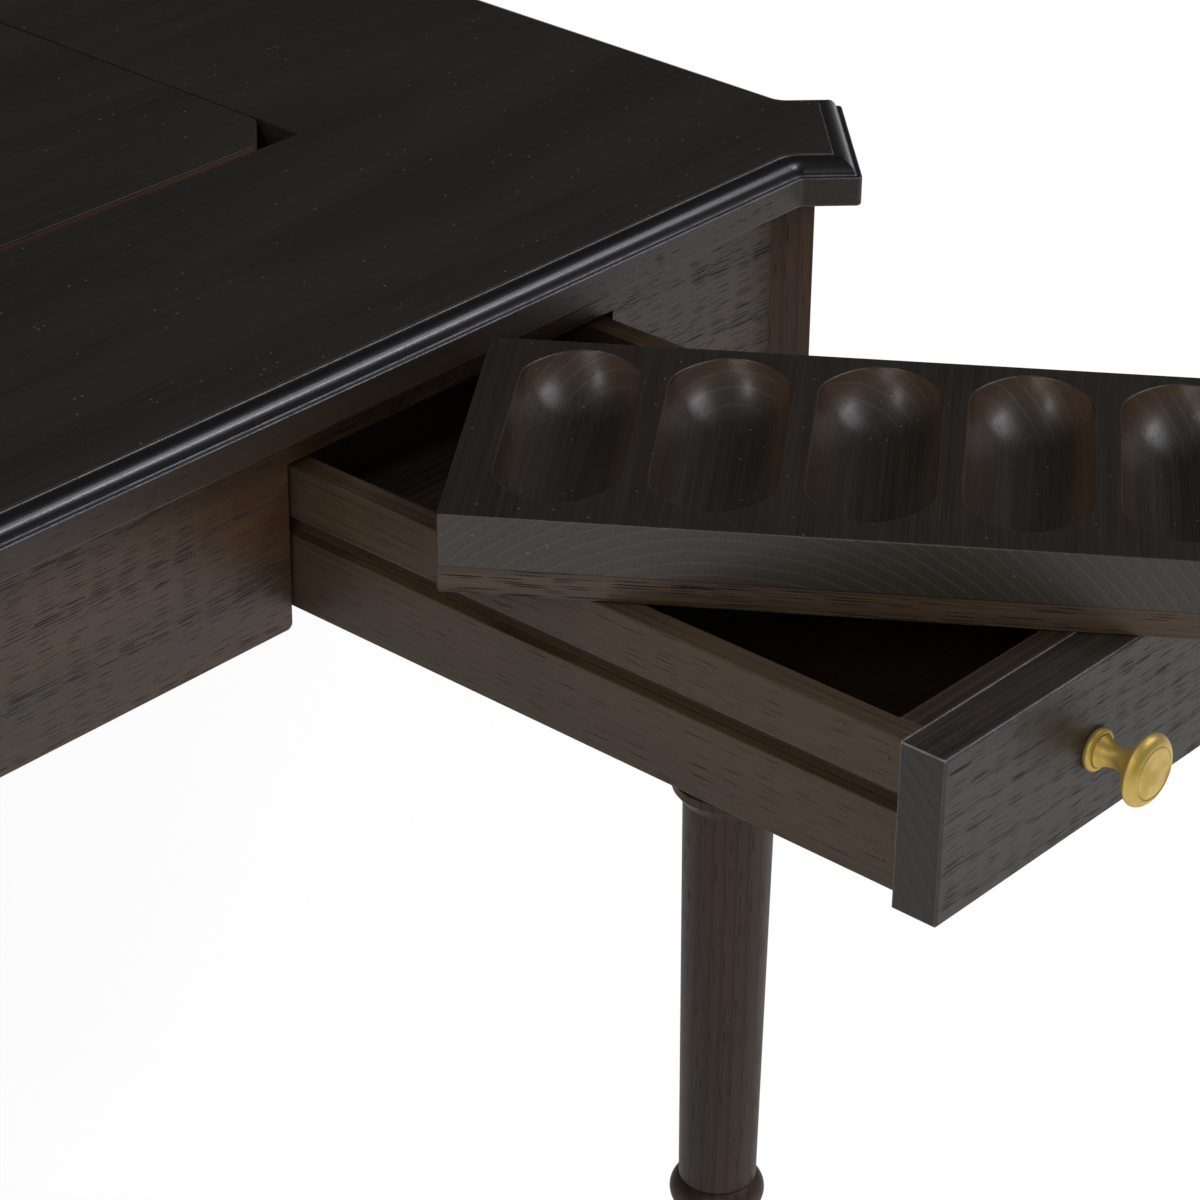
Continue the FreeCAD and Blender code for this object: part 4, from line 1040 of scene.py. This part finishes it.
def makeTray():
    size = {
        "length": 0.348, "width": 0.167, "arris": 0.0008, "corner": 0.0014, "count": 5,
        "pitch": 0.0648, "halfWidth": 0.027, "depth": 0.0225, "halfLength": 0.072,
        "shift": 0.004, "nose": 0.040, "lift": 0.009, "lip": 0.0008, "crease": 0.0028,
        "ledge": 0.002, "rows": 72, "columns": 36,
    }
    height, seam = trayTop - trayFoot, traySeam - trayFoot
    halfSize = Vector((size["length"] / 2, size["width"] / 2))
    flat = size["halfLength"] - size["nose"]
    belly = size["depth"] + size["lift"]
    noseRadius = bulge(size["depth"], size["nose"])
    noseCentre = belly - noseRadius
    trough = bulge(size["depth"], size["halfWidth"])
    sunk = trough - size["depth"]

    def barrel(v):
        past = max(abs(v) - flat, 0)
        return noseCentre + math.sqrt(max(noseRadius ** 2 - past ** 2, 0))

    def lesser(first, second, soft):
        blend = min(max(0.5 + (second - first) / (2 * soft), 0), 1)
        return second + (first - second) * blend - soft * blend * (1 - blend)

    def depthAt(u, v):
        fromBarrel = math.sqrt(max(barrel(v) ** 2 - u ** 2, 0)) - size["lift"]
        fromTrough = math.sqrt(max(trough ** 2 - u ** 2, 0)) - sunk
        return lesser(fromBarrel, fromTrough, size["crease"])

    def halfWidthAt(v, level):
        wide = math.sqrt(max(barrel(v) ** 2 - (size["lift"] + level) ** 2, 0))
        straight = math.sqrt(trough ** 2 - (sunk + level) ** 2)
        return max(lesser(wide, straight, size["crease"]), 0)

    def outlineAt(level):
        # Half widths and places along the scoop from end to end
        end = flat + math.sqrt(noseRadius ** 2 - (size["lift"] + level - noseCentre) ** 2)
        rows = size["rows"]
        along = [end * math.sin(math.pi * (row / rows - 0.5)) for row in range(rows + 1)]
        return [(0 if row in (0, rows) else halfWidthAt(v, level), v) for row, v in enumerate(along)]

    def ring(outline):
        right = [Vector((w, v)) for w, v in outline]
        left = [Vector((-w, v)) for w, v in reversed(outline[1:-1])]
        return right + left

    inside = outlineAt(size["lip"])
    innerRing, edgeRing = ring(inside), ring(outlineAt(0))
    outerRing = drawnIn(edgeRing, -size["lip"])
    bm = bmesh.new()
    lips, columns = [], size["columns"]
    for number in range(size["count"]):
        u0 = size["length"] / 2 + (number - (size["count"] - 1) / 2) * size["pitch"]
        v0 = size["width"] / 2 + size["shift"]
        grid = []
        for half, v in inside:
            row = []
            for column in range(columns + 1 if half else 1):
                u = -half * math.cos(math.pi * column / columns)
                deep = size["lip"] if column in (0, columns) else max(depthAt(u, v), size["lip"])
                row.append(bm.verts.new((u0 + u, v0 + v, height - deep)))
            grid.append(row)
        for near, far in zip(grid, grid[1:]):
            for column in range(columns):
                stitch(bm, near, far, column, column + 1)
        rings = [[row[-1] for row in grid] + [row[0] for row in reversed(grid[1:-1])]]
        for share in (0.25, 0.5, 0.75, 1.0):
            level = height - size["lip"] * (1 - share) ** 2
            spots = [curved(*ends, share) for ends in zip(innerRing, edgeRing, outerRing)]
            rings.append([bm.verts.new((u0 + p.x, v0 + p.y, level)) for p in spots])
        bridge(bm, rings)
        lips.append(rings[-1])
    arris, walls = size["arris"], []
    for inset, level in (
        (arris, 0), (arris * 0.3, arris * 0.3), (0, arris), (0, seam - size["ledge"]), (0, height - arris),
        (arris * 0.1, height - arris * 0.6), (arris * 0.4, height - arris * 0.2), (arris, height),
    ):
        loop = roundedLoop(halfSize.x - inset, halfSize.y - inset, 0, size["corner"], 5)
        walls.append(addRing(bm, [p + halfSize for p in loop], level))
    bridge(bm, walls)
    bm.faces.new(list(reversed(walls[0])))
    fillRings(bm, [walls[-1]] + lips)
    place = Matrix.Translation(cornerBase + Vector((0, 0, trayFoot))) @ Matrix.Rotation(trayTurn, 4, "Z")
    for name, node, wood in (
        ("trayBase", "chip_tray_base", baseWood), ("trayBlock", "chip_tray_block", blockWood),
    ):
        # The same body, cut at the glue line
        half, isUpper = bm.copy(), wood == blockWood
        parts = bmesh.ops.bisect_plane(
            half, geom=half.verts[:] + half.edges[:] + half.faces[:], plane_co=(0, 0, seam),
            plane_no=(0, 0, 1), clear_inner=isUpper, clear_outer=not isUpper,
        )
        cut = [item for item in parts["geom_cut"] if isinstance(item, bmesh.types.BMEdge)]
        bmesh.ops.triangle_fill(half, use_beauty=True, use_dissolve=False, edges=cut)
        addPiece(name, newMesh(f"{name}Board", half, place), [wood], node)
    bm.free()


makeTray()
print("tray made")


# Solids that keep their shape

def dressNodes():
    # Boards, their wood, the width of their eased edges and the steps across them
    boards = (
        (("apron",), "Apron", 0.0009, 3),
        (("drawer_face",), "Face", 0.0003, 2),
        (("drawer_box_front", "drawer_back", "drawer_bottom"), "DrawerEnd", 0.0006, 3),
        (("drawer_left_guide", "drawer_right_guide"), "Guide", 0.0008, 3),
    )
    for side in sides:
        for parts, kind, arris, pieces in boards:
            for part in parts:
                dressNode(f"{side}_{part}", woods[side + kind], arris, pieces)
        dressNode(f"{side}_drawer_knob_screw", zinc)
    for node in ("well_rails", "panel_ledges", "well_floor", "corner_braces"):
        dressNode(node, wellWood, 0.0008)
    dressNode("drawer_runners", runnerWood, 0.0006)
    dressNode("leg_bolts", zinc)
    dressNode("leg_nuts", zinc, 0.0003, 2)
    dressNode("foot_glides", nylon)


dressNodes()
print("solids dressed")


# Floor, world, lamps and camera

def seenRays(tree):
    path = addNode(tree, "LightPath").outputs
    seen = doMath(tree, "MAXIMUM", path["Is Camera Ray"], path["Is Transmission Ray"])
    return seen, path["Is Glossy Ray"]


def makeFloor():
    look = {"shade": (226, 226, 228), "glow": 0.73, "glossyGlow": 0.48, "half": 14.0}
    bm = bmesh.new()
    bmesh.ops.create_grid(bm, x_segments=8, y_segments=8, size=look["half"])
    mesh = bpy.data.meshes.new("floorSheet")
    bm.to_mesh(mesh)
    bm.free()
    material, tree = newMaterial("paleFloor")
    seen, glossy = seenRays(tree)
    bright, mirrored = multiply(tree, seen, look["glow"]), multiply(tree, glossy, look["glossyGlow"])
    strength = doMath(tree, "MAXIMUM", bright, mirrored)
    diffuse = addNode(tree, "BsdfDiffuse", {"Color": toLinear(look["shade"])})
    glow = addNode(tree, "Emission", {"Strength": strength})
    both = addNode(tree, "AddShader", {0: diffuse.outputs[0], 1: glow.outputs[0]})
    endWith(tree, both.outputs[0])
    floor = addObject("floor", mesh)
    mesh.materials.append(material)


def makeWorld():
    look = {"low": 0.52, "high": 0.24, "glossyLow": 0.35, "glossyHigh": 0.03}
    world = bpy.data.worlds.new("studio")
    scene.world = world
    world.use_nodes = True
    tree = world.node_tree
    tree.nodes.clear()
    seen, glossy = seenRays(tree)
    level = split(tree, coordinate(tree, "Generated"))[2]
    soft = mapRange(tree, level, 0.0, 0.8, look["low"], look["high"])
    mirrored = mapRange(tree, level, -0.05, 0.30, look["glossyLow"], look["glossyHigh"])
    light = mixValue(tree, seen, mixValue(tree, glossy, soft, mirrored), 1.0)
    background = addNode(tree, "Background", {"Strength": light})
    output = tree.nodes.new("ShaderNodeOutputWorld")
    tree.links.new(background.outputs[0], output.inputs["Surface"])


def addLamp(name, aim, direction, distance, width, height, power, shade):
    # The width runs along the front of the table, as seen from the aim.
    lamp = bpy.data.lights.new(name, "AREA")
    lamp.shape = "RECTANGLE"
    lamp.size, lamp.size_y = width, height
    lamp.energy, lamp.color = power, toLinear(shade)[:3]
    way = Vector(direction).normalized()
    long = (Vector((1, 0, 0)) - way * way.x).normalized()
    place = middle + Vector(aim) + way * distance
    addObject(name, lamp).matrix_world = axesAt(place, long, way.cross(long), way)


def makeLamps():
    cool, white, warm = (248, 249, 255), (255, 255, 255), (255, 247, 236)
    edge, tray = (0.0, -0.487, 0.755), (0.20, -0.45, 0.75)
    addLamp("keySoftbox", edge, (0.585, -0.505, 0.632), 3.0, 0.9, 0.22, 9, cool)
    addLamp("rightSoftbox", edge, (0.62, -0.36, 0.66), 2.8, 1.4, 1.0, 12, cool)
    addLamp("leftSoftbox", tray, (-0.80, -0.45, 0.55), 3.0, 1.8, 1.8, 22, warm)
    addLamp("topSoftbox", tray, (-0.50, 0.15, 0.85), 2.8, 0.6, 0.5, 12, white)


def makeCamera():
    view = {
        "place": (-0.93860, -1.55489, 1.49680), "lens": 116.781, "sensor": 36.0,
        "right": (0.663691, -0.747942, 0.010075), "up": (0.362301, 0.333208, 0.870462),
    }
    camera = bpy.data.cameras.new("photographer")
    camera.lens, camera.sensor_width = view["lens"], view["sensor"]
    right, up = Vector(view["right"]).normalized(), Vector(view["up"])
    up = (up - right * up.dot(right)).normalized()
    holder = addObject("photographer", camera)
    holder.matrix_world = axesAt(Vector(view["place"]) + middle, right, up, right.cross(up))
    scene.camera = holder


makeFloor()
makeWorld()
makeLamps()
makeCamera()
scene.view_settings.view_transform = "Standard"
print("stage made")
